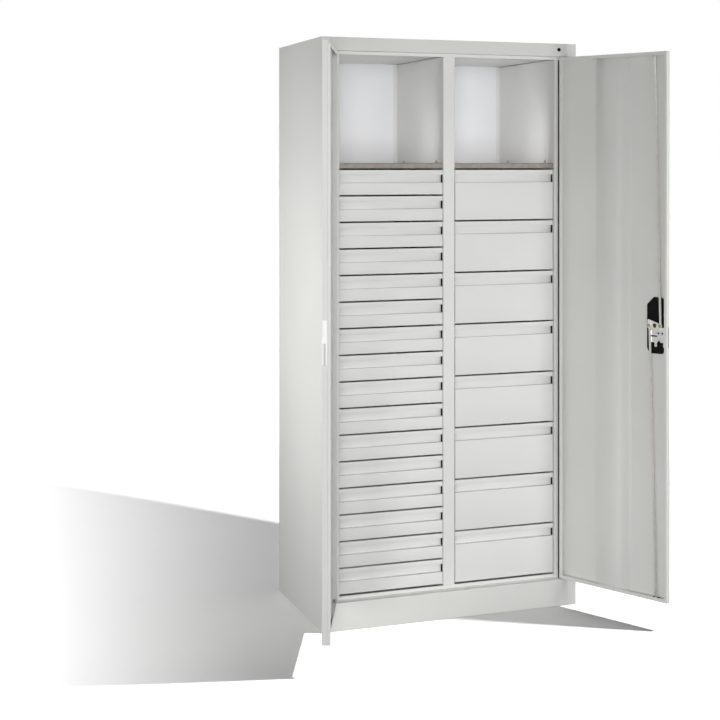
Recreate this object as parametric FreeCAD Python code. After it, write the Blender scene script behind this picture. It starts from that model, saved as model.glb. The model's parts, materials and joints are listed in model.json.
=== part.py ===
import FreeCAD
import Part

import math
import os

# Tool cabinet of folded sheet steel with two wing doors. Behind the doors a left column of small
# drawers and a right column of large ones stand under two open compartments.
# Frame: millimetres, origin on the floor under the middle of the body, +X right, +Y back, +Z up.
# The doors are drawn shut and then swung open about their pivots.

Vector = FreeCAD.Vector

# Body
WIDTH = 930.0
DEPTH = 500.0
HEIGHT = 1950.0
SHEET = 1.0
BEND = 1.0
SHARP = 0.0
RETURN_WIDTH = 33.0
RETURN_LIP = 13.0
REAR_LIP = 16.0
BACK_RECESS = 22.0
PLINTH_HEIGHT = 92.0
PLINTH_LIP = 15.0
FASCIA_HEIGHT = 44.5
DOOR_STOP_HEIGHT = 11.0
DOOR_STOP_SETBACK = 22.0
DOOR_STOP_INSET = 7.5
CEILING_RISE = 6.5
PANEL_FLANGE = 12.0
SEAM_GAP = 0.3
FIT_GAP = 0.5

# Body feet and the plug in the fascia
CHANNEL_WIDTH = 36.0
CHANNEL_DEPTH = 30.0
CHANNEL_SHEET = 2.0
CHANNEL_FROM_SIDE = 4.0
CHANNEL_END_GAP = 12.0
FOOT_RADIUS = 18.0
FOOT_DISC = 7.0
FOOT_STEM_RADIUS = 5.0
FOOT_STEM_GAP = 0.2
FOOT_FROM_END = 45.0
FOOT_STEM_REACH = 14.0
NUT_CORNERS = 6
NUT_RADIUS = 9.8
NUT_HEIGHT = 8.0
PLUG_FROM_OPENING = 33.0
PLUG_DROP = 21.0
PLUG_RADIUS = 5.0
PLUG_HEAD_RADIUS = 6.2
PLUG_HEAD = 1.6
PLUG_SHANK = 6.0

# Inner walls, partition and shelves
WALL_FROM_OPENING = 37.0
WALL_TOP_GAP = 2.0
PARTITION_WIDTH = 42.0
PARTITION_SETBACK = 33.0
WALL_SETBACK = 25.0
WALL_FLANGE = 14.0
WALL_FLANGE_LIP = 9.0
WALL_REAR_FLANGE = 12.0
WALL_REAR_GAP = 1.0
RAIL_SETBACK = 31.0
RAIL_HEIGHT = 12.5
RAIL_FOOT = 11.0
SHELF_RISE = 20.5
SHELF_LIP = 18.5
SHELF_LIP_RETURN = 10.0
SHELF_SETBACK = 35.0
CLIP_HEIGHT = 11.0
CLIP_FOOT = 9.0
CLIP_WIDTH = 10.0
CLIP_SHEET = 1.5
CLIP_FRONT_Y = -155.0
CLIP_REAR_Y = 150.0

# Drawers
DRAWER_SHEET = 0.8
STACK_BOTTOM = 107.5
SMALL_COUNT = 16
SMALL_PITCH = 88.0
LARGE_COUNT = 8
LARGE_PITCH = 176.0
DRAWER_GAP = 5.5
DRAWER_SIDE_GAP = 2.0
DRAWER_SETBACK = 34.0
GRIP_LIP = 16.0
GRIP_LIP_RETURN = 5.0
GRIP_HEIGHT = 27.0
GRIP_DEPTH = 14.0
FRONT_FOOT = 10.0
TRAY_RISE = 4.0
TRAY_DROP = 13.0
TRAY_REAR_GAP = 16.0
RIM_WIDTH = 8.0
RIM_LIP = 5.3
RIM_FRONT_GAP = 4.5
RIM_TO_WEB = 0.6

# Runners
RUNNER_SHEET = 1.2
RUNNER_LEG = 8.2
RUNNER_PLAY = 0.35
RUNNER_FRONT_GAP = 4.0
RUNNER_REAR_GAP = 2.0

# Doors
DOOR_THICKNESS = 18.0
DOOR_SHEET = 1.0
DOOR_CENTRE_GAP = 3.0
DOOR_HINGE_GAP = 3.5
DOOR_EDGE_GAP = 2.5
DOOR_LIP = 11.0
DOOR_HINGE_LIP = 14.0
DOOR_END_LIP = 12.0
PIVOT_FROM_EDGE = 9.5
PIVOT_FROM_FACE = 7.5
RIGHT_DOOR_ANGLE = 117.5
LEFT_DOOR_ANGLE = 112.5
PIN_RADIUS = 3.0
PIN_CLEARANCE = 0.05
PIN_REACH = 9.0
PIN_COLLAR_RADIUS = 5.5
PIN_COLLAR_GAP = 0.3
STIFFENER_FROM_HINGE = 210.5
STIFFENER_TOP_WIDTH = 72.0
STIFFENER_BASE_WIDTH = 120.0
STIFFENER_HEIGHT = 12.0
STIFFENER_FOOT = 12.0
STIFFENER_SHEET = 0.8
STIFFENER_END_GAP = 6.0
EDGE_CHANNEL_HEIGHT = 8.0
EDGE_CHANNEL_WIDTH = 12.0
EDGE_CHANNEL_TOP_GAP = 2.5
EDGE_HOLE_RADIUS = 3.5
EDGE_HOLE_DROP = 9.0
STRIKE_WIDTH = 14.0
STRIKE_HEIGHT = 133.0
STRIKE_SHEET = 1.0
STRIKE_BELOW_LOCK = 1.5

# Lock
LOCK_X = 51.0
LOCK_Z = 1000.0
LAYER_GAP = 0.3
HOUSING_WIDTH = 62.0
HOUSING_HEIGHT = 186.0
HOUSING_SHIFT = 2.0
HOUSING_DEPTH = 4.5
HOUSING_WALL = 1.5
HOUSING_CHAMFER = 25.0
HOUSING_BIG_RADIUS = 22.0
HOUSING_SMALL_RADIUS = 11.0
ESCUTCHEON_DEPTH = 6.0
ESCUTCHEON_RADIUS = 12.0
ESCUTCHEON_BEVEL = 2.0
TURN_ANGLE = 90.0
CAM_THICKNESS = 2.2
CAM_HOLE_RADIUS = 7.5
CAM_RISE = 21.0
CAM_SHOULDER = 7.0
CAM_DROP = 14.0
CAM_RIM = 6.5
CAM_CORNER_RADIUS = 4.0
CRANK_RADIUS = 20.5
CRANK_PIN_RADIUS = 3.0
CRANK_PIN_HEAD_RADIUS = 5.5
CRANK_PIN_HEAD = 1.2
ROD_THICKNESS = 2.7
ROD_WIDTH = 8.0
ROD_EYE_RADIUS = 6.0
ROD_TIP_INSET = 0.5
ROD_TIP_CHAMFER = 2.0
ROD_SLOT_PLAY = 0.8
UPPER_TIP_X = 51.0
LOWER_TIP_X = 46.5
GUIDE_WALL = 4.0
GUIDE_HEIGHT = 9.0
BOLT_THICKNESS = 2.3
BOLT_HEAD_WIDTH = 18.0
BOLT_HEAD_HEIGHT = 65.0
BOLT_HEAD_TOP = 5.0
BOLT_SHANK_TOP = 6.0
BOLT_SHANK_BOTTOM = 55.5
BOLT_TAIL = 9.0
BOLT_FLUSH_GAP = 0.5
BOLT_SLOT_PLAY = 0.6
BOLT_CORNER_RADIUS = 2.0
BOLT_HOLE_RADIUS = 3.5
BOLT_HOLE_DROP = 19.0
BOLT_HOLE_PITCH = 14.6
BOLT_LUG_WIDTH = 9.0
BOLT_LUG_FROM_STUD = 7.0
BOLT_NOTCH_FROM_STUD = 9.8
BOLT_NOTCH_HALF = 6.5
BOLT_NOTCH_RISE = 9.0
DRIVE_RADIUS = 11.0
DRIVE_PIN_RADIUS = 2.5
DRIVE_PIN_PLAY = 0.7
STUD_RADIUS = 2.0
STUD_PLAY = 0.4
STUD_DROP = 35.0
STUD_FROM_AXIS = 3.7
SPINDLE_RADIUS = 4.0
SPINDLE_CLEARANCE = 0.25
HUB_RADIUS = 8.2
LEVER_LENGTH = 104.0
LEVER_WIDTH = 24.0
LEVER_END_WIDTH = 18.0
LEVER_THICKNESS = 9.0
LEVER_STANDOFF = 12.0
LEVER_BOSS_RADIUS = 16.0
LEVER_GAP = 0.4
LEVER_BEVEL = 2.0
BARREL_RADIUS = 8.0
BARREL_CLEARANCE = 0.1
BARREL_PROUD = 1.2
BARREL_FLOOR = 2.0
KEY_SLOT_LENGTH = 8.0
KEY_SLOT_WIDTH = 1.6
KEY_SLOT_DEPTH = 6.0
TONGUE_REACH = 12.5
TONGUE_WIDTH = 8.0
TONGUE_THICKNESS = 2.5
TONGUE_GAP = 0.4

# Planes and places that follow from the driving dimensions
FRONT = -DEPTH / 2
REAR = DEPTH / 2
SIDE = WIDTH / 2
OPENING_X = SIDE - RETURN_WIDTH
FASCIA_BOTTOM = HEIGHT - FASCIA_HEIGHT
CEILING_Z = FASCIA_BOTTOM - CEILING_RISE
BACK_FACE = REAR - BACK_RECESS
PANEL_REAR = BACK_FACE - FIT_GAP
WALL_REAR = BACK_FACE - WALL_REAR_GAP
INNER_SIDE = SIDE - SHEET - FIT_GAP
CHANNEL_X = SIDE - SHEET - CHANNEL_FROM_SIDE - CHANNEL_WIDTH / 2
DOOR_STOP_Y = FRONT + DOOR_STOP_SETBACK
PARTITION_X = PARTITION_WIDTH / 2
WALL_X = OPENING_X - WALL_FROM_OPENING
WALL_TOP = CEILING_Z - WALL_TOP_GAP
PLUG_X = OPENING_X - PLUG_FROM_OPENING
STACK_TOP = STACK_BOTTOM + SMALL_COUNT * SMALL_PITCH
SHELF_TOP = STACK_TOP + SHELF_RISE

DOOR_FREE_X = DOOR_CENTRE_GAP / 2
DOOR_HINGE_X = OPENING_X - DOOR_HINGE_GAP
DOOR_INNER = FRONT + DOOR_THICKNESS
DOOR_SKIN = FRONT + DOOR_SHEET
DOOR_BOTTOM = PLINTH_HEIGHT + DOOR_EDGE_GAP
DOOR_TOP = FASCIA_BOTTOM - DOOR_EDGE_GAP
PIVOT_X = DOOR_HINGE_X - PIVOT_FROM_EDGE
PIVOT_Y = FRONT + PIVOT_FROM_FACE

HOUSING_Y = DOOR_SKIN + HOUSING_DEPTH
BOLT_Y = HOUSING_Y + LAYER_GAP
ROD_Y = BOLT_Y + BOLT_THICKNESS + LAYER_GAP
CAM_Y = ROD_Y + ROD_THICKNESS + LAYER_GAP
CAM_TOP_Y = CAM_Y + CAM_THICKNESS
ESCUTCHEON_Y = FRONT - ESCUTCHEON_DEPTH
BOSS_Y = ESCUTCHEON_Y - LEVER_GAP
ARM_Y = BOSS_Y - LEVER_STANDOFF
LEVER_FACE_Y = ARM_Y - LEVER_THICKNESS
DRIVE_X = DRIVE_RADIUS * math.sin(math.radians(TURN_ANGLE / 2))
DRIVE_Z = DRIVE_RADIUS * math.cos(math.radians(TURN_ANGLE / 2))
BOLT_TRAVEL = 2 * DRIVE_X
BOLT_LOW = LOCK_Z - BOLT_HEAD_TOP - BOLT_HEAD_HEIGHT
BOLT_HIGH = LOCK_Z - BOLT_HEAD_TOP

RIGHT = 1
LEFT = -1


# Shape helpers

def box(x0, x1, y0, y1, z0, z1):
    """Block between two corners."""
    return Part.makeBox(x1 - x0, y1 - y0, z1 - z0, Vector(x0, y0, z0))


def corner_arc(before, corner, after, radius):
    """Start, middle and end of the arc that rounds one corner."""
    to_before = (before - corner).normalize()
    to_after = (after - corner).normalize()
    half = to_before.getAngle(to_after) / 2
    inward = (to_before + to_after).normalize()
    start = corner + to_before * (radius / math.tan(half))
    end = corner + to_after * (radius / math.tan(half))
    middle = corner + inward * (radius / math.sin(half) - radius)
    return start, middle, end


def face_of(points, place):
    """Flat face inside corners given as (a, b) or (a, b, rounding radius)."""
    corners = [place(point[0], point[1]) for point in points]
    entries = []
    exits = []
    arcs = []
    for index, corner in enumerate(corners):
        radius = points[index][2] if len(points[index]) > 2 else 0
        entry = corner
        leave = corner
        if radius > 0:
            after = corners[(index + 1) % len(corners)]
            entry, middle, leave = corner_arc(corners[index - 1], corner, after, radius)
            arcs.append(Part.Arc(entry, middle, leave).toShape())
        else:
            arcs.append(None)
        entries.append(entry)
        exits.append(leave)
    edges = []
    for index in range(len(corners)):
        if arcs[index] is not None:
            edges.append(arcs[index])
        following = entries[(index + 1) % len(corners)]
        if exits[index].distanceToPoint(following) > Part.Precision.confusion():
            edges.append(Part.makeLine(exits[index], following))
    return Part.Face(Part.Wire(edges))


def along_x(points, x0, x1):
    """Outline in (y, z) drawn out from x0 to x1."""
    return face_of(points, lambda a, b: Vector(x0, a, b)).extrude(Vector(x1 - x0, 0, 0))


def along_y(points, y0, y1):
    """Outline in (x, z) drawn out from y0 to y1."""
    return face_of(points, lambda a, b: Vector(a, y0, b)).extrude(Vector(0, y1 - y0, 0))


def along_z(points, z0, z1):
    """Outline in (x, y) drawn out from z0 to z1."""
    return face_of(points, lambda a, b: Vector(a, b, z0)).extrude(Vector(0, 0, z1 - z0))


def direction(start, end):
    """Unit vector between two flat points."""
    length = math.hypot(end[0] - start[0], end[1] - start[1])
    return (end[0] - start[0]) / length, (end[1] - start[1]) / length


def folded(path, thickness, side, bend):
    """Outline of a folded sheet. The path is one face, and side is 1 where the sheet's other face
    lies to the path's left, or -1 to its right. bend is the radius inside each fold."""
    near = []
    far = []
    for index, (a, b) in enumerate(path):
        before = direction(path[max(index - 1, 0)], path[max(index, 1)])
        after = direction(path[min(index, len(path) - 2)], path[min(index + 1, len(path) - 1)])
        normal_a = -side * (before[1] + after[1])
        normal_b = side * (before[0] + after[0])
        scale = thickness / (1 + before[0] * after[0] + before[1] * after[1])
        turn = side * (before[0] * after[1] - before[1] * after[0])
        near_radius = 0
        far_radius = 0
        if turn > 0:
            near_radius = bend + thickness if bend else 0
            far_radius = bend
        elif turn < 0:
            near_radius = bend
            far_radius = bend + thickness if bend else 0
        near.append((a, b, near_radius))
        far.append((a + normal_a * scale, b + normal_b * scale, far_radius))
    return near + far[::-1]


def bar_y(radius, x, z, y0, y1):
    """Round bar from front to back."""
    return Part.makeCylinder(radius, y1 - y0, Vector(x, y0, z), Vector(0, 1, 0))


def bar_z(radius, x, y, z0, z1):
    """Upright round bar."""
    return Part.makeCylinder(radius, z1 - z0, Vector(x, y, z0), Vector(0, 0, 1))


def mirrored(shape):
    """The same piece on the other side of the middle plane."""
    return shape.mirror(Vector(0, 0, 0), Vector(1, 0, 0))


def on_side(shape, side):
    """A piece drawn for the right side, put on the given side."""
    return shape if side == RIGHT else mirrored(shape)


def swung(shape, side):
    """A piece of a shut door, swung open with the door of the given side."""
    placed = shape.copy()
    angle = RIGHT_DOOR_ANGLE if side == RIGHT else -LEFT_DOOR_ANGLE
    placed.rotate(Vector(side * PIVOT_X, PIVOT_Y, 0), Vector(0, 0, 1), angle)
    return placed


def joined(shapes):
    """One solid from touching or overlapping shapes."""
    return shapes[0].fuse(shapes[1:]).removeSplitter()


# Body

def rod_bow():
    """Sideways bow of a rod's tip halfway through the turn, while its lean changes evenly."""
    half_turn = TURN_ANGLE / 2
    share = math.cos(math.radians(half_turn)) - (1 - half_turn / TURN_ANGLE)
    return CRANK_RADIUS * share


def rod_span(side):
    """Reach in x of one rod's tip over the whole turn, with its play: LEFT is the upper rod."""
    tip = UPPER_TIP_X if side == LEFT else LOWER_TIP_X
    bow = tip + side * rod_bow()
    half = ROD_WIDTH / 2 + ROD_SLOT_PLAY
    return min(tip, bow) - half, max(tip, bow) + half


def rod_slot(side, z0, z1):
    """Cutter for the slot that one rod's tip passes."""
    low, high = rod_span(side)
    y_low = ROD_Y - ROD_SLOT_PLAY
    y_high = ROD_Y + ROD_THICKNESS + ROD_SLOT_PLAY
    return box(low, high, y_low, y_high, z0, z1)


def pivot_holes(z0, z1):
    """Cutters for the two door pins."""
    return [bar_z(PIN_RADIUS, side * PIVOT_X, PIVOT_Y, z0, z1)
            for side in (LEFT, RIGHT)]


def side_panel(side):
    """Side wall with its front return and rear lip, the full height of the cabinet."""
    path = [(OPENING_X, FRONT + RETURN_LIP), (OPENING_X, FRONT), (SIDE, FRONT), (SIDE, REAR),
            (SIDE - REAR_LIP, REAR)]
    return on_side(along_z(folded(path, SHEET, 1, BEND), 0, HEIGHT), side)


def back_panel():
    """Back wall with flanges folded backwards between the side walls."""
    edge = REAR - SHEET - BEND
    path = [(-INNER_SIDE, edge), (-INNER_SIDE, BACK_FACE), (INNER_SIDE, BACK_FACE), (INNER_SIDE, edge)]
    return along_z(folded(path, SHEET, 1, BEND), 0, HEIGHT - SHEET - SEAM_GAP)


def top_panel():
    """Top sheet, the fascia folded down in front of it and the door stop behind the fascia."""
    half = OPENING_X - SEAM_GAP
    path = [(DOOR_STOP_Y, FASCIA_BOTTOM - DOOR_STOP_HEIGHT), (DOOR_STOP_Y, FASCIA_BOTTOM),
            (FRONT, FASCIA_BOTTOM), (FRONT, HEIGHT), (FRONT + RETURN_LIP, HEIGHT)]
    fascia = along_x(folded(path, SHEET, -1, BEND), -half, half)
    corner = SHEET + BEND
    sheet = box(-INNER_SIDE, INNER_SIDE, FRONT + corner, REAR - corner, HEIGHT - SHEET, HEIGHT)
    lip_notch = box(half, OPENING_X + SHEET + SEAM_GAP, FRONT, FRONT + RETURN_LIP + SEAM_GAP,
                    HEIGHT - SHEET, HEIGHT)
    stop_end = box(half - DOOR_STOP_INSET, half, FRONT + RETURN_LIP, DOOR_STOP_Y + SHEET,
                   FASCIA_BOTTOM - DOOR_STOP_HEIGHT, FASCIA_BOTTOM + SHEET)
    fascia = fascia.cut([stop_end, mirrored(stop_end)])
    panel = joined([fascia, sheet.cut([lip_notch, mirrored(lip_notch)])])
    plug_z = HEIGHT - PLUG_DROP
    plug_hole = bar_y(PLUG_RADIUS, PLUG_X, plug_z, FRONT - SHEET, DOOR_STOP_Y)
    low = FASCIA_BOTTOM - SHEET
    high = FASCIA_BOTTOM + 2 * SHEET
    return panel.cut([plug_hole, rod_slot(LEFT, low, high)] + pivot_holes(low, high))


def fascia_plug():
    """Plug in the round hole near the fascia's right end."""
    plug_z = HEIGHT - PLUG_DROP
    head = bar_y(PLUG_HEAD_RADIUS, PLUG_X, plug_z, FRONT - PLUG_HEAD, FRONT)
    shank = bar_y(PLUG_RADIUS, PLUG_X, plug_z, FRONT, FRONT + PLUG_SHANK)
    return joined([head, shank])


def ceiling_panel():
    """Ceiling between the outer edges of the inner walls, flanged up at front and back."""
    half = WALL_X + WALL_FLANGE
    front = DOOR_STOP_Y + SHEET + FIT_GAP
    path = [(front, CEILING_Z + PANEL_FLANGE), (front, CEILING_Z), (PANEL_REAR, CEILING_Z),
            (PANEL_REAR, CEILING_Z + PANEL_FLANGE)]
    return along_x(folded(path, SHEET, 1, BEND), -half, half)


def bottom_panel():
    """Floor, ledge and plinth front folded from one sheet."""
    half = OPENING_X - SEAM_GAP
    path = [(FRONT + PLINTH_LIP, 0), (FRONT, 0), (FRONT, PLINTH_HEIGHT), (PANEL_REAR, PLINTH_HEIGHT),
            (PANEL_REAR, PLINTH_HEIGHT - PANEL_FLANGE)]
    middle = along_x(folded(path, SHEET, -1, BEND), -half, half)
    wing_front = FRONT + RETURN_LIP + FIT_GAP
    wings = [box(*sorted((side * half, side * INNER_SIDE)), wing_front, PANEL_REAR - SHEET - BEND,
                 PLINTH_HEIGHT - SHEET, PLINTH_HEIGHT) for side in (LEFT, RIGHT)]
    low = PLINTH_HEIGHT - 2 * SHEET
    high = PLINTH_HEIGHT + SHEET
    return joined([middle] + wings).cut([rod_slot(RIGHT, low, high)] + pivot_holes(low, high))


def foot_places():
    """Centres of the four corner feet and of the foot under the partition."""
    front = FRONT + FOOT_FROM_END
    rear = BACK_FACE - FOOT_FROM_END
    return [(side * CHANNEL_X, y) for side in (LEFT, RIGHT) for y in (front, rear)] + [(0, 0)]


def base_channels():
    """Three channels under the floor, below both side walls and the partition, with the feet."""
    half = CHANNEL_WIDTH / 2
    top = PLINTH_HEIGHT - SHEET
    path = [(-half, top), (-half, top - CHANNEL_DEPTH), (half, top - CHANNEL_DEPTH), (half, top)]
    y0 = FRONT + RETURN_LIP + CHANNEL_END_GAP
    hole = FOOT_STEM_RADIUS + FOOT_STEM_GAP
    holes = [bar_z(hole, x, y, 0, top - CHANNEL_SHEET) for x, y in foot_places()]
    channels = []
    for x in (-CHANNEL_X, 0, CHANNEL_X):
        channel = along_y(folded(path, CHANNEL_SHEET, 1, BEND), y0, BACK_FACE - CHANNEL_END_GAP)
        channel.translate(Vector(x, 0, 0))
        channels.append(channel.cut(holes))
    return Part.makeCompound(channels)


def levelling_feet():
    """Five screw feet: a disc on a threaded stem with its nut under the channel."""
    feet = []
    web = PLINTH_HEIGHT - SHEET - CHANNEL_DEPTH
    for x, y in foot_places():
        disc = bar_z(FOOT_RADIUS, x, y, 0, FOOT_DISC)
        top = web + CHANNEL_SHEET + FOOT_STEM_REACH
        stem = bar_z(FOOT_STEM_RADIUS, x, y, FOOT_DISC, top)
        corners = []
        for corner in range(NUT_CORNERS):
            angle = 2 * math.pi * corner / NUT_CORNERS
            corners.append((x + NUT_RADIUS * math.cos(angle), y + NUT_RADIUS * math.sin(angle)))
        nut = along_z(corners, web - NUT_HEIGHT, web)
        feet.append(joined([disc, stem, nut]))
    return Part.makeCompound(feet)


def inner_wall(side):
    """Wall between a drawer column and the outer side wall, flanged at front and back."""
    front = FRONT + WALL_SETBACK
    rear = WALL_REAR - SHEET
    outer = WALL_X + WALL_FLANGE
    path = [(outer, front + WALL_FLANGE_LIP), (outer, front), (WALL_X, front),
            (WALL_X, rear), (WALL_X - WALL_REAR_FLANGE, rear)]
    return on_side(along_z(folded(path, SHEET, -1, BEND), PLINTH_HEIGHT, WALL_TOP), side)


def centre_partition():
    """Hollow partition between the columns: a wide front, two walls and rear flanges."""
    front = FRONT + PARTITION_SETBACK
    rear = WALL_REAR - SHEET
    path = [(-PARTITION_X - WALL_REAR_FLANGE, rear), (-PARTITION_X, rear), (-PARTITION_X, front),
            (PARTITION_X, front), (PARTITION_X, rear), (PARTITION_X + WALL_REAR_FLANGE, rear)]
    return along_z(folded(path, SHEET, 1, BEND), PLINTH_HEIGHT, WALL_TOP)


def drawer_rail():
    """Low angle on the ledge in front of the partition, which closes the gap under both columns."""
    half = WALL_X - FIT_GAP
    rear = FRONT + RAIL_SETBACK + SHEET
    path = [(rear - RAIL_FOOT, PLINTH_HEIGHT), (rear, PLINTH_HEIGHT), (rear, PLINTH_HEIGHT + RAIL_HEIGHT)]
    return along_x(folded(path, SHEET, 1, BEND), -half, half)


def shelf(side):
    """Shelf over one drawer column with a folded front lip."""
    front = FRONT + SHELF_SETBACK
    rear = WALL_REAR - SHEET - FIT_GAP
    low = SHELF_TOP - SHELF_LIP
    path = [(front + SHELF_LIP_RETURN, low), (front, low), (front, SHELF_TOP),
            (rear, SHELF_TOP), (rear, low)]
    plate = along_x(folded(path, SHEET, -1, BEND), PARTITION_X + FIT_GAP, WALL_X - FIT_GAP)
    return on_side(plate, side)


def shelf_clips():
    """Small angles that hold the shelves to the walls, two on each side of each shelf."""
    clips = []
    for wall, inward in ((WALL_X, -1), (PARTITION_X, 1)):
        foot = wall + inward * CLIP_FOOT
        path = [(wall, SHELF_TOP + CLIP_HEIGHT), (wall, SHELF_TOP), (foot, SHELF_TOP)]
        outline = folded(path, CLIP_SHEET, inward, SHARP)
        for y in (CLIP_FRONT_Y, CLIP_REAR_Y):
            clip = along_y(outline, y - CLIP_WIDTH / 2, y + CLIP_WIDTH / 2)
            clips.append(clip)
            clips.append(mirrored(clip))
    return Part.makeCompound(clips)


# Drawers and runners

def small_bottoms():
    """Lower edges of the small drawer fronts, from the lowest up."""
    return [STACK_BOTTOM + SMALL_PITCH * row + DRAWER_GAP / 2 for row in range(SMALL_COUNT)]


def large_bottoms():
    """Lower edges of the large drawer fronts, from the lowest up."""
    return [STACK_BOTTOM + LARGE_PITCH * row + DRAWER_GAP / 2 for row in range(LARGE_COUNT)]


def rim_top(bottom, pitch):
    """Height of the rim along the top of a drawer's sides."""
    return bottom + pitch - DRAWER_GAP - TRAY_DROP


def drawer_front(bottom, top, low_x, high_x):
    """Drawer front folded from one strip: foot, panel, grip recess and overhanging lip."""
    face = FRONT + DRAWER_SETBACK
    grip = face + GRIP_DEPTH
    grip_floor = top - GRIP_LIP - GRIP_HEIGHT
    under_top = top - DRAWER_SHEET
    lip_back = face + DRAWER_SHEET
    lip_low = top - GRIP_LIP + DRAWER_SHEET
    path = [(face + FRONT_FOOT, bottom), (face, bottom), (face, grip_floor),
            (grip, grip_floor), (grip, under_top), (lip_back, under_top),
            (lip_back, lip_low), (lip_back + GRIP_LIP_RETURN, lip_low)]
    return along_x(folded(path, DRAWER_SHEET, -1, SHARP), low_x, high_x)


def drawer(bottom, pitch, side):
    """One drawer shut in its column: folded front, open tray and the rims it hangs by."""
    top = bottom + pitch - DRAWER_GAP
    low_x = PARTITION_X + DRAWER_SIDE_GAP
    high_x = WALL_X - DRAWER_SIDE_GAP
    front = drawer_front(bottom, top, low_x, high_x)

    rim_inset = RUNNER_SHEET + RIM_TO_WEB + RIM_WIDTH
    tray_low = PARTITION_X + rim_inset
    tray_high = WALL_X - rim_inset
    panel_back = FRONT + DRAWER_SETBACK + DRAWER_SHEET
    grip_back = panel_back + GRIP_DEPTH
    under_grip = top - GRIP_LIP - GRIP_HEIGHT - DRAWER_SHEET
    rear = WALL_REAR - TRAY_REAR_GAP
    floor = bottom + TRAY_RISE
    rim = rim_top(bottom, pitch)
    side_outline = [(panel_back, floor), (rear, floor), (rear, rim), (grip_back, rim),
                    (grip_back, under_grip), (panel_back, under_grip)]
    rim_front = grip_back + RIM_FRONT_GAP
    rim_path = [(0, rim), (RIM_WIDTH, rim), (RIM_WIDTH, rim - RIM_LIP)]
    rim_outline = folded(rim_path, DRAWER_SHEET, -1, SHARP)
    pieces = [front,
              box(tray_low, tray_high, panel_back, rear, floor, floor + DRAWER_SHEET),
              box(tray_low, tray_high, rear - DRAWER_SHEET, rear, floor, rim),
              along_x(side_outline, tray_low, tray_low + DRAWER_SHEET),
              along_x(side_outline, tray_high - DRAWER_SHEET, tray_high),
              along_y([(tray_high + a, b) for a, b, radius in rim_outline], rim_front, rear),
              along_y([(tray_low - a, b) for a, b, radius in rim_outline], rim_front, rear)]
    return on_side(joined(pieces), side)


def runners(bottoms, pitch, at_wall, side):
    """The C-shaped runners on one wall of a column, one for each drawer."""
    start = FRONT + DRAWER_SETBACK + DRAWER_SHEET + GRIP_DEPTH + RUNNER_FRONT_GAP
    rails = []
    for bottom in bottoms:
        rim = rim_top(bottom, pitch)
        low = rim - RIM_LIP - RUNNER_PLAY - RUNNER_SHEET
        high = rim + RUNNER_PLAY + RUNNER_SHEET
        web = WALL_X if at_wall else PARTITION_X
        inward = -1 if at_wall else 1
        leg = web + inward * RUNNER_LEG
        path = [(leg, low), (web, low), (web, high), (leg, high)]
        outline = folded(path, RUNNER_SHEET, -inward, SHARP)
        rails.append(on_side(along_y(outline, start, WALL_REAR - SHEET - RUNNER_REAR_GAP), side))
    return Part.makeCompound(rails)


# Doors, drawn shut

def hinge_pins():
    """Four pins in the ledge and the fascia, each with a collar beside the door."""
    pins = []
    for side in (LEFT, RIGHT):
        x = side * PIVOT_X
        pins.append(joined([
            bar_z(PIN_RADIUS, x, PIVOT_Y, PLINTH_HEIGHT - PIN_REACH, DOOR_BOTTOM + PIN_REACH),
            bar_z(PIN_COLLAR_RADIUS, x, PIVOT_Y, PLINTH_HEIGHT, DOOR_BOTTOM - PIN_COLLAR_GAP)]))
        pins.append(joined([
            bar_z(PIN_RADIUS, x, PIVOT_Y, DOOR_TOP - PIN_REACH, FASCIA_BOTTOM + PIN_REACH),
            bar_z(PIN_COLLAR_RADIUS, x, PIVOT_Y, DOOR_TOP + PIN_COLLAR_GAP, FASCIA_BOTTOM)]))
    return Part.makeCompound(pins)


def door_tray():
    """Door folded as a shallow tray with lips all round its inner side."""
    path = [(DOOR_FREE_X + DOOR_LIP, DOOR_INNER), (DOOR_FREE_X, DOOR_INNER),
            (DOOR_FREE_X, FRONT), (DOOR_HINGE_X, FRONT),
            (DOOR_HINGE_X, DOOR_INNER), (DOOR_HINGE_X - DOOR_HINGE_LIP, DOOR_INNER)]
    pieces = [along_z(folded(path, DOOR_SHEET, 1, BEND), DOOR_BOTTOM, DOOR_TOP)]
    low_x = DOOR_FREE_X + DOOR_SHEET
    high_x = DOOR_HINGE_X - DOOR_SHEET
    end_path = [(DOOR_SKIN, 0), (DOOR_INNER, 0), (DOOR_INNER, DOOR_END_LIP)]
    for z, up in ((DOOR_BOTTOM, 1), (DOOR_TOP, -1)):
        outline = folded([(y, z + up * rise) for y, rise in end_path], DOOR_SHEET, up, SHARP)
        pieces.append(along_x(outline, low_x, high_x))
    tray = joined(pieces)
    hole = PIN_RADIUS + PIN_CLEARANCE
    return tray.cut(bar_z(hole, PIVOT_X, PIVOT_Y, 0, HEIGHT))


def stiffener():
    """Hat-shaped stiffener on the back of a door's skin, as high as the tray is open."""
    middle = DOOR_HINGE_X - STIFFENER_FROM_HINGE
    top = STIFFENER_TOP_WIDTH / 2
    base = STIFFENER_BASE_WIDTH / 2
    skin = DOOR_SKIN
    crest = skin + STIFFENER_HEIGHT
    path = [(middle - base - STIFFENER_FOOT, skin), (middle - base, skin), (middle - top, crest),
            (middle + top, crest), (middle + base, skin), (middle + base + STIFFENER_FOOT, skin)]
    raised = [(x, y + STIFFENER_SHEET if y == skin else y) for x, y in path]
    outline = folded(raised, STIFFENER_SHEET, -1, SHARP)
    return along_z(outline, DOOR_BOTTOM + STIFFENER_END_GAP, DOOR_TOP - STIFFENER_END_GAP)


def edge_slot(low_x, high_x):
    """Cutter for the slot that the side bolt passes through."""
    y_low = BOLT_Y - BOLT_SLOT_PLAY
    y_high = ROD_Y + ROD_THICKNESS + BOLT_SLOT_PLAY
    return box(low_x, high_x, y_low, y_high, BOLT_LOW - BOLT_SLOT_PLAY, BOLT_HIGH + BOLT_SLOT_PLAY)


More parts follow.
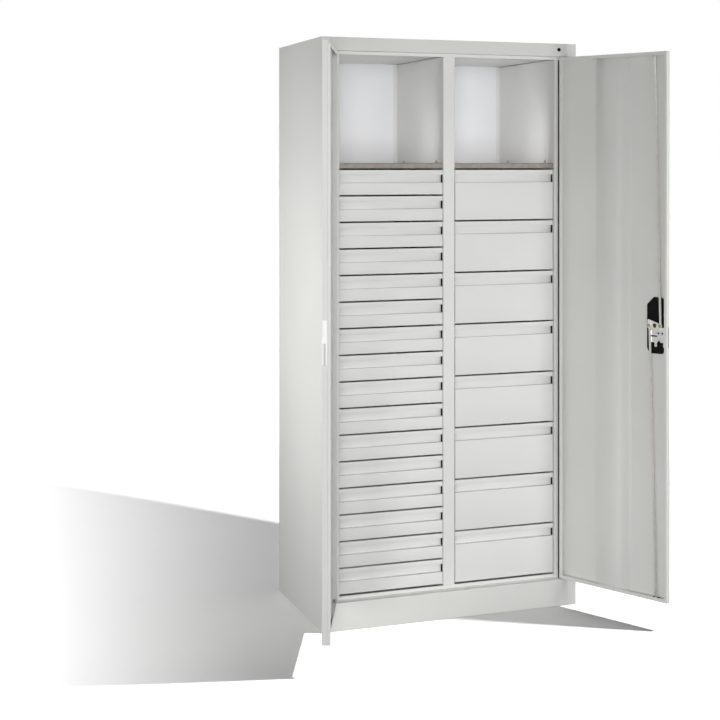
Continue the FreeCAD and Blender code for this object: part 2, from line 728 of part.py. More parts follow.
def left_door_shell():
    """Left door tray with the slot for the side bolt."""
    return mirrored(door_tray().cut(edge_slot(DOOR_FREE_X - DOOR_SHEET, DOOR_FREE_X + 2 * DOOR_SHEET)))


def left_door_edge_channel():
    """Channel that stiffens the left door's free edge on the inner side, open at both ends."""
    low_x = DOOR_FREE_X
    high_x = DOOR_FREE_X + EDGE_CHANNEL_WIDTH
    crest = DOOR_INNER + EDGE_CHANNEL_HEIGHT
    top = FASCIA_BOTTOM - DOOR_STOP_HEIGHT - EDGE_CHANNEL_TOP_GAP
    path = [(low_x, DOOR_INNER), (low_x, crest), (high_x, crest), (high_x, DOOR_INNER)]
    channel = along_z(folded(path, DOOR_SHEET, -1, BEND), DOOR_BOTTOM, top)
    hole_x = (low_x + high_x) / 2
    hole_z = top - EDGE_HOLE_DROP
    hole = bar_y(EDGE_HOLE_RADIUS, hole_x, hole_z, DOOR_INNER, crest + DOOR_SHEET)
    return mirrored(channel.cut(hole))


def strike_plate():
    """Pale strike plate on the left door's free edge, slotted for the side bolt."""
    middle_y = (FRONT + DOOR_INNER) / 2
    middle_z = LOCK_Z - STRIKE_BELOW_LOCK
    plate = box(DOOR_FREE_X - STRIKE_SHEET, DOOR_FREE_X,
                middle_y - STRIKE_WIDTH / 2, middle_y + STRIKE_WIDTH / 2,
                middle_z - STRIKE_HEIGHT / 2, middle_z + STRIKE_HEIGHT / 2)
    return mirrored(plate.cut(edge_slot(DOOR_FREE_X - 2 * STRIKE_SHEET, DOOR_FREE_X + STRIKE_SHEET)))


def right_door_shell():
    """Right door tray with its holes for the spindle, the rods and the side bolt."""
    spindle = SPINDLE_RADIUS + SPINDLE_CLEARANCE
    return door_tray().cut([
        edge_slot(DOOR_FREE_X - DOOR_SHEET, DOOR_FREE_X + 2 * DOOR_SHEET),
        bar_y(spindle, LOCK_X, LOCK_Z, ESCUTCHEON_Y, HOUSING_Y),
        rod_slot(RIGHT, DOOR_BOTTOM - DOOR_SHEET, DOOR_BOTTOM + 2 * DOOR_SHEET),
        rod_slot(LEFT, DOOR_TOP - 2 * DOOR_SHEET, DOOR_TOP + DOOR_SHEET)])


# Lock, drawn on the shut right door with the lever level: unlocked

def housing_outline(inset):
    """Outline of the lock's housing: one corner cut off, one well rounded."""
    middle = LOCK_X + HOUSING_SHIFT
    free = middle - HOUSING_WIDTH / 2 + inset
    inner = middle + HOUSING_WIDTH / 2 - inset
    low = LOCK_Z - HOUSING_HEIGHT / 2 + inset
    high = LOCK_Z + HOUSING_HEIGHT / 2 - inset
    small = HOUSING_SMALL_RADIUS - inset
    return [(free, low, small), (free, high, small), (inner - HOUSING_CHAMFER, high),
            (inner, high - HOUSING_CHAMFER), (inner, low, HOUSING_BIG_RADIUS - inset)]


def lock_housing():
    """Black moulded housing on the door's inner side, hollow, with the stud that guides the bolt."""
    shell = along_y(housing_outline(0), DOOR_SKIN, HOUSING_Y)
    shell = shell.cut(along_y(housing_outline(HOUSING_WALL), DOOR_SKIN, HOUSING_Y - HOUSING_WALL))
    stud_x = LOCK_X - STUD_FROM_AXIS
    stud_z = LOCK_Z - STUD_DROP
    stud = bar_y(STUD_RADIUS, stud_x, stud_z, DOOR_SKIN, BOLT_Y + BOLT_THICKNESS)
    collar = bar_y(SPINDLE_RADIUS + SPINDLE_CLEARANCE + HOUSING_WALL, LOCK_X, LOCK_Z, DOOR_SKIN, HOUSING_Y)
    bore = bar_y(SPINDLE_RADIUS + SPINDLE_CLEARANCE, LOCK_X, LOCK_Z, FRONT, BOLT_Y)
    return joined([shell, stud, collar]).cut(bore)


def lock_escutcheon():
    """Plate behind the lever on the door's outer side, bevelled round its edge."""
    low = LOCK_Z - HOUSING_HEIGHT / 2
    high = LOCK_Z + HOUSING_HEIGHT / 2
    free = LOCK_X - HOUSING_WIDTH / 2
    inner = LOCK_X + HOUSING_WIDTH / 2
    radius = ESCUTCHEON_RADIUS
    outline = [(free, low, radius), (free, high, radius), (inner, high, radius), (inner, low, radius)]
    plate = along_y(outline, ESCUTCHEON_Y, FRONT)
    rim = [edge for edge in plate.Edges if edge.BoundBox.YMax < FRONT - ESCUTCHEON_BEVEL]
    plate = plate.makeChamfer(ESCUTCHEON_BEVEL, rim)
    spindle = SPINDLE_RADIUS + SPINDLE_CLEARANCE
    return plate.cut(bar_y(spindle, LOCK_X, LOCK_Z, BOSS_Y, DOOR_SKIN))


def tongue_chamber(y0, y1):
    """Quarter-round chamber in the lever's boss in which the barrel's tongue swings."""
    reach = TONGUE_REACH + TONGUE_GAP
    half = TONGUE_WIDTH / 2 + TONGUE_GAP
    quarter = Part.makeCylinder(reach, y1 - y0, Vector(0, y0, 0), Vector(0, 1, 0), TURN_ANGLE)
    quarter.rotate(Vector(0, 0, 0), Vector(0, 1, 0), chamber_start(quarter))
    upright = box(-half, half, y0, y1, 0, reach)
    level = box(0, reach, y0, y1, -half, half)
    chamber = joined([quarter, upright, level])
    chamber.translate(Vector(LOCK_X, 0, LOCK_Z))
    return chamber


def chamber_start(quarter):
    """Turn about the spindle that brings a quarter disc between up and the hinge side."""
    middle = quarter.CenterOfMass
    now = math.degrees(math.atan2(middle.x, middle.z))
    return TURN_ANGLE / 2 - now


def lock_handle():
    """Lever on a round boss with the spindle and the hub that carry the cam."""
    boss = bar_y(LEVER_BOSS_RADIUS, LOCK_X, LOCK_Z, LEVER_FACE_Y, BOSS_Y)
    tip = LOCK_X + LEVER_LENGTH
    half = LEVER_WIDTH / 2
    half_end = LEVER_END_WIDTH / 2
    end_radius = half_end - SEAM_GAP
    outline = [(LOCK_X, LOCK_Z - half), (tip, LOCK_Z - half_end, end_radius),
               (tip, LOCK_Z + half_end, end_radius), (LOCK_X, LOCK_Z + half)]
    grip = joined([boss, along_y(outline, LEVER_FACE_Y, ARM_Y)])
    rim = [edge for edge in grip.Edges if edge.BoundBox.YMax < LEVER_FACE_Y + LEVER_GAP]
    grip = grip.makeChamfer(LEVER_BEVEL, rim)
    floor = BOSS_Y - BARREL_FLOOR
    bore = BARREL_RADIUS + BARREL_CLEARANCE
    chamber_front = floor - TONGUE_THICKNESS - 2 * TONGUE_GAP
    grip = grip.cut([bar_y(bore, LOCK_X, LOCK_Z, LEVER_FACE_Y - BARREL_PROUD, floor),
                     tongue_chamber(chamber_front, floor)])
    spindle = bar_y(SPINDLE_RADIUS, LOCK_X, LOCK_Z, BOSS_Y, ROD_Y)
    hub = bar_y(HUB_RADIUS, LOCK_X, LOCK_Z, ROD_Y, CAM_Y)
    return joined([grip, spindle, hub])


def lock_cylinder():
    """Key barrel in the lever's boss with its key slot and the tongue it turns."""
    face = LEVER_FACE_Y - BARREL_PROUD
    back = BOSS_Y - BARREL_FLOOR - TONGUE_GAP
    barrel = bar_y(BARREL_RADIUS, LOCK_X, LOCK_Z, face, back)
    half = TONGUE_WIDTH / 2
    sweep = bar_y(TONGUE_REACH, LOCK_X, LOCK_Z, back - TONGUE_THICKNESS, back)
    tongue = sweep.common(box(LOCK_X - half, LOCK_X + half, face, back, LOCK_Z, LOCK_Z + TONGUE_REACH))
    slot = box(LOCK_X - KEY_SLOT_WIDTH / 2, LOCK_X + KEY_SLOT_WIDTH / 2, face, face + KEY_SLOT_DEPTH,
               LOCK_Z - KEY_SLOT_LENGTH / 2, LOCK_Z + KEY_SLOT_LENGTH / 2)
    return joined([barrel, tongue]).cut(slot)


def lock_cam():
    """Turning plate with its two crank pins and the pin that drives the bolt."""
    free_pin = LOCK_X - CRANK_RADIUS
    inner_pin = LOCK_X + CRANK_RADIUS
    low = LOCK_Z - CAM_DROP
    radius = CAM_CORNER_RADIUS
    shoulder = LOCK_Z + CAM_SHOULDER
    rim = LOCK_Z - CAM_RIM
    outline = [(inner_pin + CAM_RIM, LOCK_Z + CAM_RISE, radius), (free_pin, shoulder, radius),
               (free_pin - CAM_RIM, shoulder, radius), (free_pin - CAM_RIM, rim, radius),
               (free_pin, low, radius), (inner_pin, low, radius), (inner_pin + CAM_RIM, rim, radius)]
    plate = along_y(outline, CAM_Y, CAM_TOP_Y)
    hole = bar_y(CAM_HOLE_RADIUS, LOCK_X, LOCK_Z, CAM_Y, CAM_TOP_Y)
    pieces = [plate.cut(hole)]
    for side in (LEFT, RIGHT):
        x = LOCK_X + side * CRANK_RADIUS
        pieces.append(bar_y(CRANK_PIN_RADIUS, x, LOCK_Z, ROD_Y, CAM_Y))
        pieces.append(bar_y(CRANK_PIN_HEAD_RADIUS, x, LOCK_Z, CAM_TOP_Y, CAM_TOP_Y + CRANK_PIN_HEAD))
    x = LOCK_X + DRIVE_X
    z = LOCK_Z - DRIVE_Z
    pieces.append(bar_y(DRIVE_PIN_RADIUS, x, z, BOLT_Y, CAM_Y))
    return joined(pieces)


def locking_rod(side, tip):
    """Flat rod with its eye on a crank pin and its bevelled tip at the door's end."""
    pin = Vector(LOCK_X + side * CRANK_RADIUS, 0, LOCK_Z)
    length = (tip - pin).Length
    half = ROD_WIDTH / 2
    bevel = ROD_TIP_CHAMFER
    outline = [(-half, 0), (half, 0), (half, length - bevel), (half - bevel, length),
               (bevel - half, length), (-half, length - bevel)]
    blade = along_y(outline, ROD_Y, ROD_Y + ROD_THICKNESS)
    eye = bar_y(ROD_EYE_RADIUS, 0, 0, ROD_Y, ROD_Y + ROD_THICKNESS)
    bore = bar_y(CRANK_PIN_RADIUS + PIN_CLEARANCE, 0, 0, ROD_Y, ROD_Y + ROD_THICKNESS)
    rod = joined([blade, eye]).cut(bore)
    lean = math.degrees(math.atan2(tip.x - pin.x, tip.z - pin.z))
    rod.rotate(Vector(0, 0, 0), Vector(0, 1, 0), lean)
    rod.translate(pin)
    return rod


def upper_rod():
    """Rod from the crank pin nearer the free edge up to the fascia."""
    return locking_rod(LEFT, Vector(UPPER_TIP_X, 0, DOOR_TOP - ROD_TIP_INSET))


def lower_rod():
    """Rod from the other crank pin down to the ledge."""
    return locking_rod(RIGHT, Vector(LOWER_TIP_X, 0, DOOR_BOTTOM + ROD_TIP_INSET))


def rod_guides():
    """Guide blocks at both ends of the door, each with the slot in which the rod sways."""
    guides = []
    for side, z0 in ((RIGHT, DOOR_BOTTOM + DOOR_SHEET), (LEFT, DOOR_TOP - DOOR_SHEET - GUIDE_HEIGHT)):
        low, high = rod_span(side)
        z1 = z0 + GUIDE_HEIGHT
        block = box(low - GUIDE_WALL, high + GUIDE_WALL, DOOR_SKIN, DOOR_INNER - DOOR_SHEET, z0, z1)
        guides.append(block.cut(rod_slot(side, z0, z1)))
    return Part.makeCompound(guides)


def latch_bolt():
    """Side bolt: a thick head at the door's edge on a plate forked round the drive pin."""
    start = DOOR_FREE_X + BOLT_FLUSH_GAP
    neck = start + BOLT_HEAD_WIDTH
    tail = LOCK_X + DRIVE_X + BOLT_TAIL
    low = LOCK_Z - BOLT_SHANK_BOTTOM
    high = LOCK_Z - BOLT_SHANK_TOP
    radius = BOLT_CORNER_RADIUS
    stud_x = LOCK_X - STUD_FROM_AXIS
    stud_z = LOCK_Z - STUD_DROP
    lug = stud_x + BOLT_LUG_FROM_STUD
    notch = stud_x - BOLT_NOTCH_FROM_STUD
    outline = [(start, BOLT_LOW), (neck, BOLT_LOW, radius), (neck, low, radius),
               (notch - BOLT_NOTCH_HALF, low), (notch, low + BOLT_NOTCH_RISE, radius),
               (notch + BOLT_NOTCH_HALF, low), (lug - BOLT_LUG_WIDTH, low),
               (lug - BOLT_LUG_WIDTH, BOLT_LOW, radius), (lug, BOLT_LOW, radius), (lug, low),
               (tail, low, 2 * radius), (tail, high, radius),
               (neck, high), (neck, BOLT_HIGH), (start, BOLT_HIGH)]
    y0 = BOLT_Y
    y1 = BOLT_Y + BOLT_THICKNESS
    plate = along_y(outline, y0, y1)
    head = box(start, neck, y0, ROD_Y + ROD_THICKNESS, BOLT_LOW, BOLT_HIGH)
    fork_half = DRIVE_PIN_RADIUS + DRIVE_PIN_PLAY
    fork = box(LOCK_X + DRIVE_X - fork_half, LOCK_X + DRIVE_X + fork_half, y0, y1,
               LOCK_Z - DRIVE_RADIUS - fork_half, LOCK_Z)
    slot_half = STUD_RADIUS + STUD_PLAY
    slot = along_y([(stud_x - slot_half, stud_z - slot_half, slot_half / 2),
                    (tail + radius, stud_z - slot_half), (tail + radius, stud_z + slot_half),
                    (stud_x - slot_half, stud_z + slot_half, slot_half / 2)], y0, y1)
    hole_x = neck + radius + BOLT_HOLE_RADIUS
    holes = [bar_y(BOLT_HOLE_RADIUS, x, high - BOLT_HOLE_DROP, y0, y1)
             for x in (hole_x, hole_x + BOLT_HOLE_PITCH)]
    return joined([plate, head]).cut([fork, slot] + holes)


def write(name, shape):
    """Write one named piece, or one group of like pieces, as a STEP file."""
    shape.exportStep(os.path.join("parts", name + ".step"))


def write_body():
    """The fixed sheet-metal body and what is fastened to it."""
    write("left_side_panel", side_panel(LEFT))
    write("right_side_panel", side_panel(RIGHT))
    write("back_panel", back_panel())
    write("top_panel", top_panel())
    write("fascia_plug", fascia_plug())
    write("ceiling_panel", ceiling_panel())
    write("bottom_panel", bottom_panel())
    write("base_channels", base_channels())
    write("levelling_feet", levelling_feet())
    write("left_inner_wall", inner_wall(LEFT))
    write("right_inner_wall", inner_wall(RIGHT))
    write("centre_partition", centre_partition())
    write("drawer_rail", drawer_rail())
    write("left_shelf", shelf(LEFT))
    write("right_shelf", shelf(RIGHT))
    write("shelf_clips", shelf_clips())
    write("hinge_pins", hinge_pins())


def write_drawers():
    """Both stacks of drawers, numbered from the lowest up, and their runners."""
    for number, bottom in enumerate(small_bottoms(), 1):
        write(f"small_drawer_{number:02d}", drawer(bottom, SMALL_PITCH, LEFT))
    for number, bottom in enumerate(large_bottoms(), 1):
        write(f"large_drawer_{number:02d}", drawer(bottom, LARGE_PITCH, RIGHT))
    write("left_outer_runners", runners(small_bottoms(), SMALL_PITCH, True, LEFT))
    write("left_centre_runners", runners(small_bottoms(), SMALL_PITCH, False, LEFT))
    write("right_outer_runners", runners(large_bottoms(), LARGE_PITCH, True, RIGHT))
    write("right_centre_runners", runners(large_bottoms(), LARGE_PITCH, False, RIGHT))


def write_doors():
    """Both doors, swung open, and the lock on the right one."""
    write("left_door_shell", swung(left_door_shell(), LEFT))
    write("left_door_stiffener", swung(mirrored(stiffener()), LEFT))
    write("left_door_edge_channel", swung(left_door_edge_channel(), LEFT))
    write("strike_plate", swung(strike_plate(), LEFT))
    write("right_door_shell", swung(right_door_shell(), RIGHT))
    write("right_door_stiffener", swung(stiffener(), RIGHT))
    write("lock_housing", swung(lock_housing(), RIGHT))
    write("lock_escutcheon", swung(lock_escutcheon(), RIGHT))
    write("rod_guides", swung(rod_guides(), RIGHT))
    write("lock_handle", swung(lock_handle(), RIGHT))
    write("lock_cylinder", swung(lock_cylinder(), RIGHT))
    write("lock_cam", swung(lock_cam(), RIGHT))
    write("upper_rod", swung(upper_rod(), RIGHT))
    write("lower_rod", swung(lower_rod(), RIGHT))
    write("latch_bolt", swung(latch_bolt(), RIGHT))


def main():
    os.makedirs("parts", exist_ok=True)
    write_body()
    write_drawers()
    write_doors()


main()
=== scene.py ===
# %% [markdown]
# A tall tool cabinet of folded sheet steel: two wing doors stand open on a column of small
# drawers, a column of large ones and two open compartments above them.
# The imported CAD model comes in as a fixed frame. This lesson dresses it: it gives every surface
# a finish, rounds the folds that the light catches, and adds the small fasteners, which are too
# fine for the CAD model, and black plates of painted shade at the ends of the grips.

import json
import math

import bmesh
import bpy
from mathutils import Matrix, Vector

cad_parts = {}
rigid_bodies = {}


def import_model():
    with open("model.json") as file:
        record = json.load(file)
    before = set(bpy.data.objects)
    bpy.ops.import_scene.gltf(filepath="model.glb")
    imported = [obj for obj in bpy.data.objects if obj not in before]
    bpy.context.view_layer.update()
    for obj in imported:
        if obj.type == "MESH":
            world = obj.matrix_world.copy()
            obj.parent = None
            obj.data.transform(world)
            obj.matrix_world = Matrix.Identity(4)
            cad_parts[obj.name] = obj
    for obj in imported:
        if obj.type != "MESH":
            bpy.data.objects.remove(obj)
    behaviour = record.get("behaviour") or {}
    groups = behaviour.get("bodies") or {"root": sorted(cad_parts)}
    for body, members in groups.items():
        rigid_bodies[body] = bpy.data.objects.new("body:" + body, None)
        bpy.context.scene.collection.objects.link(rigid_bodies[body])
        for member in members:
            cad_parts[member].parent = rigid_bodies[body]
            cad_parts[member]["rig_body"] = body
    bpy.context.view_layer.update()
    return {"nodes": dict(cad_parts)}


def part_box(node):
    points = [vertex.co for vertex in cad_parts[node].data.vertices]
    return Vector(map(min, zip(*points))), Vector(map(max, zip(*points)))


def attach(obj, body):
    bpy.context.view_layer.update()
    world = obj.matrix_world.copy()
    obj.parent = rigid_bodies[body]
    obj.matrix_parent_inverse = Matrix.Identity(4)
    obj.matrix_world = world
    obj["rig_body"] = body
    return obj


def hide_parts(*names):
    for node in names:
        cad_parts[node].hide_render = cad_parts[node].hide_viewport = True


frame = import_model()
nodes = frame["nodes"]

# %% [markdown]
# The camera stands where the photographer stood: level, to the left of the cabinet, at about
# three quarters of its height. A level camera keeps upright edges upright. The cabinet is
# brought into the picture with the lens shift, as an architect's camera does it, and not by
# tilting.

# %% The camera
MM = 0.001
PICTURE = 720
CAMERA_PLACE = (-1882.7 * MM, -4651.2 * MM, 1529.8 * MM)
CAMERA_TURN = 19.407
FOCAL_PIXELS = 1415.98
HORIZON_PIXEL = 164.9
SENSOR = 36.0
FAR_CLIP = 100.0


def make_camera():
    camera = bpy.data.cameras.new("camera")
    camera.sensor_width = SENSOR
    camera.lens = FOCAL_PIXELS / PICTURE * SENSOR
    camera.shift_y = (HORIZON_PIXEL - PICTURE / 2) / PICTURE
    camera.clip_end = FAR_CLIP
    holder = bpy.data.objects.new("camera", camera)
    holder.location = CAMERA_PLACE
    holder.rotation_euler = (math.radians(90), 0, -math.radians(CAMERA_TURN))
    bpy.context.scene.collection.objects.link(holder)
    bpy.context.scene.camera = holder
    return holder


holder = make_camera()
print("lens in millimetres", round(holder.data.lens, 1))

# %% [markdown]
# Colours are written as the hex values that a screen shows. Blender mixes light in linear
# values, so one function converts them. A second small function adds a node, sets its inputs
# and links it, and every finish below is made with it. A colour ramp also has stops: the place
# and the hex value of each colour that it runs through.

# %% Helpers for materials


def linear(hex_value):
    """Linear colour with alpha from a screen colour such as D7D7D7."""
    channels = []
    for start in (0, 2, 4):
        value = int(hex_value[start:start + 2], 16) / 255
        channels.append(value / 12.92 if value <= 0.04045 else ((value + 0.055) / 1.055) ** 2.4)
    return (*channels, 1.0)


def add_node(owner, kind, settings=None, inputs=None, stops=()):
    """Add a node. Output sockets among the inputs are linked, and all else is set."""
    tree = getattr(owner, "node_tree", owner)
    node = tree.nodes.new(kind)
    for name, value in (settings or {}).items():
        setattr(node, name, value)
    for name, value in (inputs or {}).items():
        if isinstance(value, bpy.types.NodeSocket):
            tree.links.new(value, node.inputs[name])
        else:
            node.inputs[name].default_value = value
    for number, (position, hex_value) in enumerate(stops):
        node.color_ramp.elements[number].position = position
        node.color_ramp.elements[number].color = linear(hex_value)
    return node


def new_material(name):
    """Material without a shader yet, and the Object coordinates that its patterns read."""
    material = bpy.data.materials.new(name)
    material.use_nodes = True
    material.node_tree.nodes.clear()
    place = add_node(material, "ShaderNodeTexCoord").outputs["Object"]
    return material, place


print("white in linear values", linear("FFFFFF"))

# %% [markdown]
# Powder coat is a polyester powder that melts on the hot sheet. It flows out to a satin skin
# with a very fine orange peel, about 1.6 mm from crest to crest, and over half a metre its tone
# drifts by a shade at most. A fine noise gives the bump, a broad one the drift, and a third
# breaks up the gloss where hands and cloths have been. A noise seldom leaves the middle of its
# range, so the colours and the gloss are spread over that middle.

# %% Powder coat
PEEL_SIZE = 1.6 * MM
PEEL_HEIGHT = 0.3 * MM
PEEL_STRENGTH = 0.06
DRIFT_SIZE = 420 * MM
WEAR_SIZE = 60 * MM
WEAR_SWING = 0.02
COAT_IOR = 1.5
COLOUR_LOW, COLOUR_HIGH = 0.35, 0.65
GLOSS_LOW, GLOSS_HIGH = 0.3, 0.7


def powder_coat(name, low, high, roughness):
    material, place = new_material(name)
    drift = add_node(material, "ShaderNodeTexNoise", inputs={
        "Vector": place, "Scale": 1 / DRIFT_SIZE, "Detail": 2.0})
    colour = add_node(material, "ShaderNodeValToRGB", inputs={"Fac": drift.outputs["Fac"]},
                      stops=((COLOUR_LOW, low), (COLOUR_HIGH, high)))
    wear = add_node(material, "ShaderNodeTexNoise", inputs={
        "Vector": place, "Scale": 1 / WEAR_SIZE, "Detail": 4.0})
    gloss = add_node(material, "ShaderNodeMapRange", inputs={
        "Value": wear.outputs["Fac"], "From Min": GLOSS_LOW, "From Max": GLOSS_HIGH,
        "To Min": roughness - WEAR_SWING, "To Max": roughness + WEAR_SWING})
    peel = add_node(material, "ShaderNodeTexNoise", inputs={
        "Vector": place, "Scale": 1 / PEEL_SIZE, "Detail": 1.0})
    bump = add_node(material, "ShaderNodeBump", inputs={
        "Height": peel.outputs["Fac"], "Strength": PEEL_STRENGTH, "Distance": PEEL_HEIGHT})
    shader = add_node(material, "ShaderNodeBsdfPrincipled", inputs={
        "Base Color": colour.outputs["Color"], "Roughness": gloss.outputs["Result"],
        "IOR": COAT_IOR, "Normal": bump.outputs["Normal"]})
    add_node(material, "ShaderNodeOutputMaterial", inputs={"Surface": shader.outputs["BSDF"]})
    return material


coat_outside = powder_coat("light_grey_powder_coat", "D8D8D5", "DCDCD9", 0.50)
# The next three are the same coat painted lighter: painted light on the drawer fronts, the inner
# walls and the back wall.
coat_drawers_painted_light = powder_coat("drawer_front_coat_painted_light", "DDDDDC", "E1E1E0", 0.56)
coat_inside_painted_light = powder_coat("inner_wall_coat_painted_light", "DBDBDA", "E0E0DF", 0.46)
coat_back_painted_light = powder_coat("back_wall_coat_painted_light", "E7E8EA", "ECEDEF", 0.46)
coats = [coat_outside, coat_drawers_painted_light, coat_inside_painted_light, coat_back_painted_light]
print("powder coats", [coat.name for coat in coats])

# %% [markdown]
# The runners, rods and clips are electro-zinc plated strip. Rolling leaves fine lines along the
# strip, and the zinc shows faint cloudy spangle. Real lines are finer than a pixel, so they are
# drawn coarser here, to show. The lock's turning plate carries a pale yellow passivation, which
# is why it looks warmer than the bolt. The shelves are a darker grey-brown and only partly
# metallic. A noise that is stretched along one axis makes the lines.

# %% Plated steel
LINE_SIZE = 0.8 * MM
LINE_HEIGHT = 0.1 * MM
LINE_STRENGTH = 0.08
LINE_SWING = 0.07
CLOUD_SIZE = 18 * MM
LINES_ALONG_X = (0.04, 1.0, 1.0)
LINES_ALONG_Y = (1.0, 0.04, 1.0)
LINES_ALONG_Z = (1.0, 1.0, 0.04)
NO_LINES = (1.0, 1.0, 1.0)


def plated_steel(name, low, high, roughness, lines=NO_LINES, metallic=1.0):
    material, place = new_material(name)
    cloud = add_node(material, "ShaderNodeTexNoise", inputs={
        "Vector": place, "Scale": 1 / CLOUD_SIZE, "Detail": 5.0})
    colour = add_node(material, "ShaderNodeValToRGB", inputs={"Fac": cloud.outputs["Fac"]},
                      stops=((COLOUR_LOW, low), (COLOUR_HIGH, high)))
    stretch = add_node(material, "ShaderNodeMapping", inputs={"Vector": place, "Scale": lines})
    rolled = add_node(material, "ShaderNodeTexNoise", inputs={
        "Vector": stretch.outputs["Vector"], "Scale": 1 / LINE_SIZE, "Detail": 2.0})
    gloss = add_node(material, "ShaderNodeMapRange", inputs={
        "Value": rolled.outputs["Fac"], "From Min": GLOSS_LOW, "From Max": GLOSS_HIGH,
        "To Min": roughness - LINE_SWING, "To Max": roughness + LINE_SWING})
    bump = add_node(material, "ShaderNodeBump", inputs={
        "Height": rolled.outputs["Fac"], "Strength": LINE_STRENGTH, "Distance": LINE_HEIGHT})
    shader = add_node(material, "ShaderNodeBsdfPrincipled", inputs={
        "Base Color": colour.outputs["Color"], "Metallic": metallic,
        "Roughness": gloss.outputs["Result"], "Normal": bump.outputs["Normal"]})
    add_node(material, "ShaderNodeOutputMaterial", inputs={"Surface": shader.outputs["BSDF"]})
    return material


zinc_strip = plated_steel("zinc_plated_strip", "B4B6B6", "C6C8C8", 0.38, LINES_ALONG_Z)
zinc_rod = plated_steel("zinc_plated_rod", "D2CFCA", "DEDBD6", 0.46, LINES_ALONG_Z)
zinc_runner = plated_steel("zinc_plated_runner", "A8AAAA", "BDBFBF", 0.42, LINES_ALONG_Y)
bright_zinc = plated_steel("bright_zinc_plated_plate", "F4F6F6", "FBFCFC", 0.30)
yellow_zinc = plated_steel("yellow_passivated_zinc", "E2E6E2", "F2F4EC", 0.36)
# The shelves are a darker grey-brown and only partly metallic.
shelf_dark_grey = plated_steel("dark_grey_shelf", "7E7873", "8B857F", 0.55, LINES_ALONG_X, 0.6)
nickel = plated_steel("nickel_plated_brass", "C9C6C0", "D9D6D0", 0.22)
brass = plated_steel("turned_brass_pin", "B3A288", "C2B198", 0.34)
bronze = plated_steel("oiled_bronze_bush", "5A4634", "6A5440", 0.45)
metals = [zinc_strip, zinc_rod, zinc_runner, bright_zinc, yellow_zinc, shelf_dark_grey,
          nickel, brass, bronze]
print("metals", [metal.name for metal in metals])

# %% [markdown]
# The housing, the lever and its plate are moulded in glass-filled nylon. The mould is spark
# eroded, which leaves a fine even grain and a dull black. A real grain is some ten times finer
# and wouldn't show, so it is drawn coarser. The strike plate is drawn near white with a fine
# grain: a painted highlight for a bright reflection at the left door's free edge.

# %% Moulded plastic, and the strike plate as a painted highlight
MOULD_GRAIN = 0.5 * MM
GRAIN_HEIGHT = 0.2 * MM
DULL, USUAL_SHINE = 0.12, 0.5


def moulded(name, low, high, roughness, grain_size, strength, shine):
    material, place = new_material(name)
    patch = add_node(material, "ShaderNodeTexNoise", inputs={
        "Vector": place, "Scale": 1 / WEAR_SIZE, "Detail": 3.0})
    colour = add_node(material, "ShaderNodeValToRGB", inputs={"Fac": patch.outputs["Fac"]},
                      stops=((COLOUR_LOW, low), (COLOUR_HIGH, high)))
    grain = add_node(material, "ShaderNodeTexNoise", inputs={
        "Vector": place, "Scale": 1 / grain_size, "Detail": 1.0})
    bump = add_node(material, "ShaderNodeBump", inputs={
        "Height": grain.outputs["Fac"], "Strength": strength, "Distance": GRAIN_HEIGHT})
    shader = add_node(material, "ShaderNodeBsdfPrincipled", inputs={
        "Base Color": colour.outputs["Color"], "Roughness": roughness,
        "Specular IOR Level": shine, "Normal": bump.outputs["Normal"]})
    add_node(material, "ShaderNodeOutputMaterial", inputs={"Surface": shader.outputs["BSDF"]})
    return material


black_nylon = moulded(
    "black_glass_filled_nylon", "08090A", "0E0F10", 0.62, MOULD_GRAIN, 0.15, DULL)
# The strike plate's near white is a painted highlight for a bright reflection at the door's edge.
white_painted_light = moulded(
    "white_plate_painted_light", "F2F2EF", "F7F7F5", 0.35, PEEL_SIZE, 0.04, USUAL_SHINE)
print("plastics", black_nylon.name, white_painted_light.name)

# %% [markdown]
# Each CAD node keeps its exact shape and gets its finish in its material slot. Some sheet parts
# differ a little. The back wall is lighter and slightly cooler, the inner walls are slightly
# lighter and glossier, as sheet is that nobody touches, and the drawer fronts are lighter too.
# These lighter tones are painted light for the stronger light that falls on these parts.

# %% Finishes of the CAD nodes
COATED = ["left_side_panel", "right_side_panel", "top_panel", "bottom_panel", "drawer_rail",
          "left_door_shell", "left_door_stiffener", "left_door_edge_channel",
          "right_door_shell", "right_door_stiffener"]
INNER = ["left_inner_wall", "right_inner_wall", "centre_partition", "ceiling_panel"]
BLACK = ["lock_housing", "lock_escutcheon", "lock_handle", "rod_guides", "levelling_feet",
         "fascia_plug"]
STRIP = ["shelf_clips", "hinge_pins", "base_channels"]


def dress(names, material):
    for name in names:
        mesh = nodes[name].data
        mesh.materials.clear()
        mesh.materials.append(material)
    return len(names)


drawers = sorted(name for name in nodes if "_drawer_" in name)
runners = sorted(name for name in nodes if name.endswith("_runners"))
dressed = dress(COATED, coat_outside)
dressed += dress(INNER, coat_inside_painted_light)
dressed += dress(["back_panel"], coat_back_painted_light)
dressed += dress(BLACK, black_nylon)
dressed += dress(STRIP, zinc_strip)
dressed += dress(runners, zinc_runner)
dressed += dress(["left_shelf", "right_shelf"], shelf_dark_grey)
dressed += dress(["latch_bolt"], bright_zinc)
dressed += dress(["upper_rod", "lower_rod"], zinc_rod)
dressed += dress(["lock_cam"], yellow_zinc)
dressed += dress(["lock_cylinder"], nickel)
dressed += dress(["strike_plate"], white_painted_light)
dressed += dress(drawers, coat_drawers_painted_light)
print("nodes with a finish", dressed, "of", len(nodes))

# %% [markdown]
# A press brake never makes a sharp corner: the sheet bends round a small radius, and that
# radius is what catches the light on a drawer front. The CAD drawers have sharp folds, so each
# drawer is copied, its flat faces are merged again, and a narrow bevel rounds its folds. The
# copy keeps the drawer's finish and takes its place.

# %% Drawers with rounded folds
FOLD_RADIUS = 0.7 * MM
SAME_POINT = 0.01 * MM
FLAT_ANGLE = math.radians(1)
FOLD_ANGLE = math.radians(40)


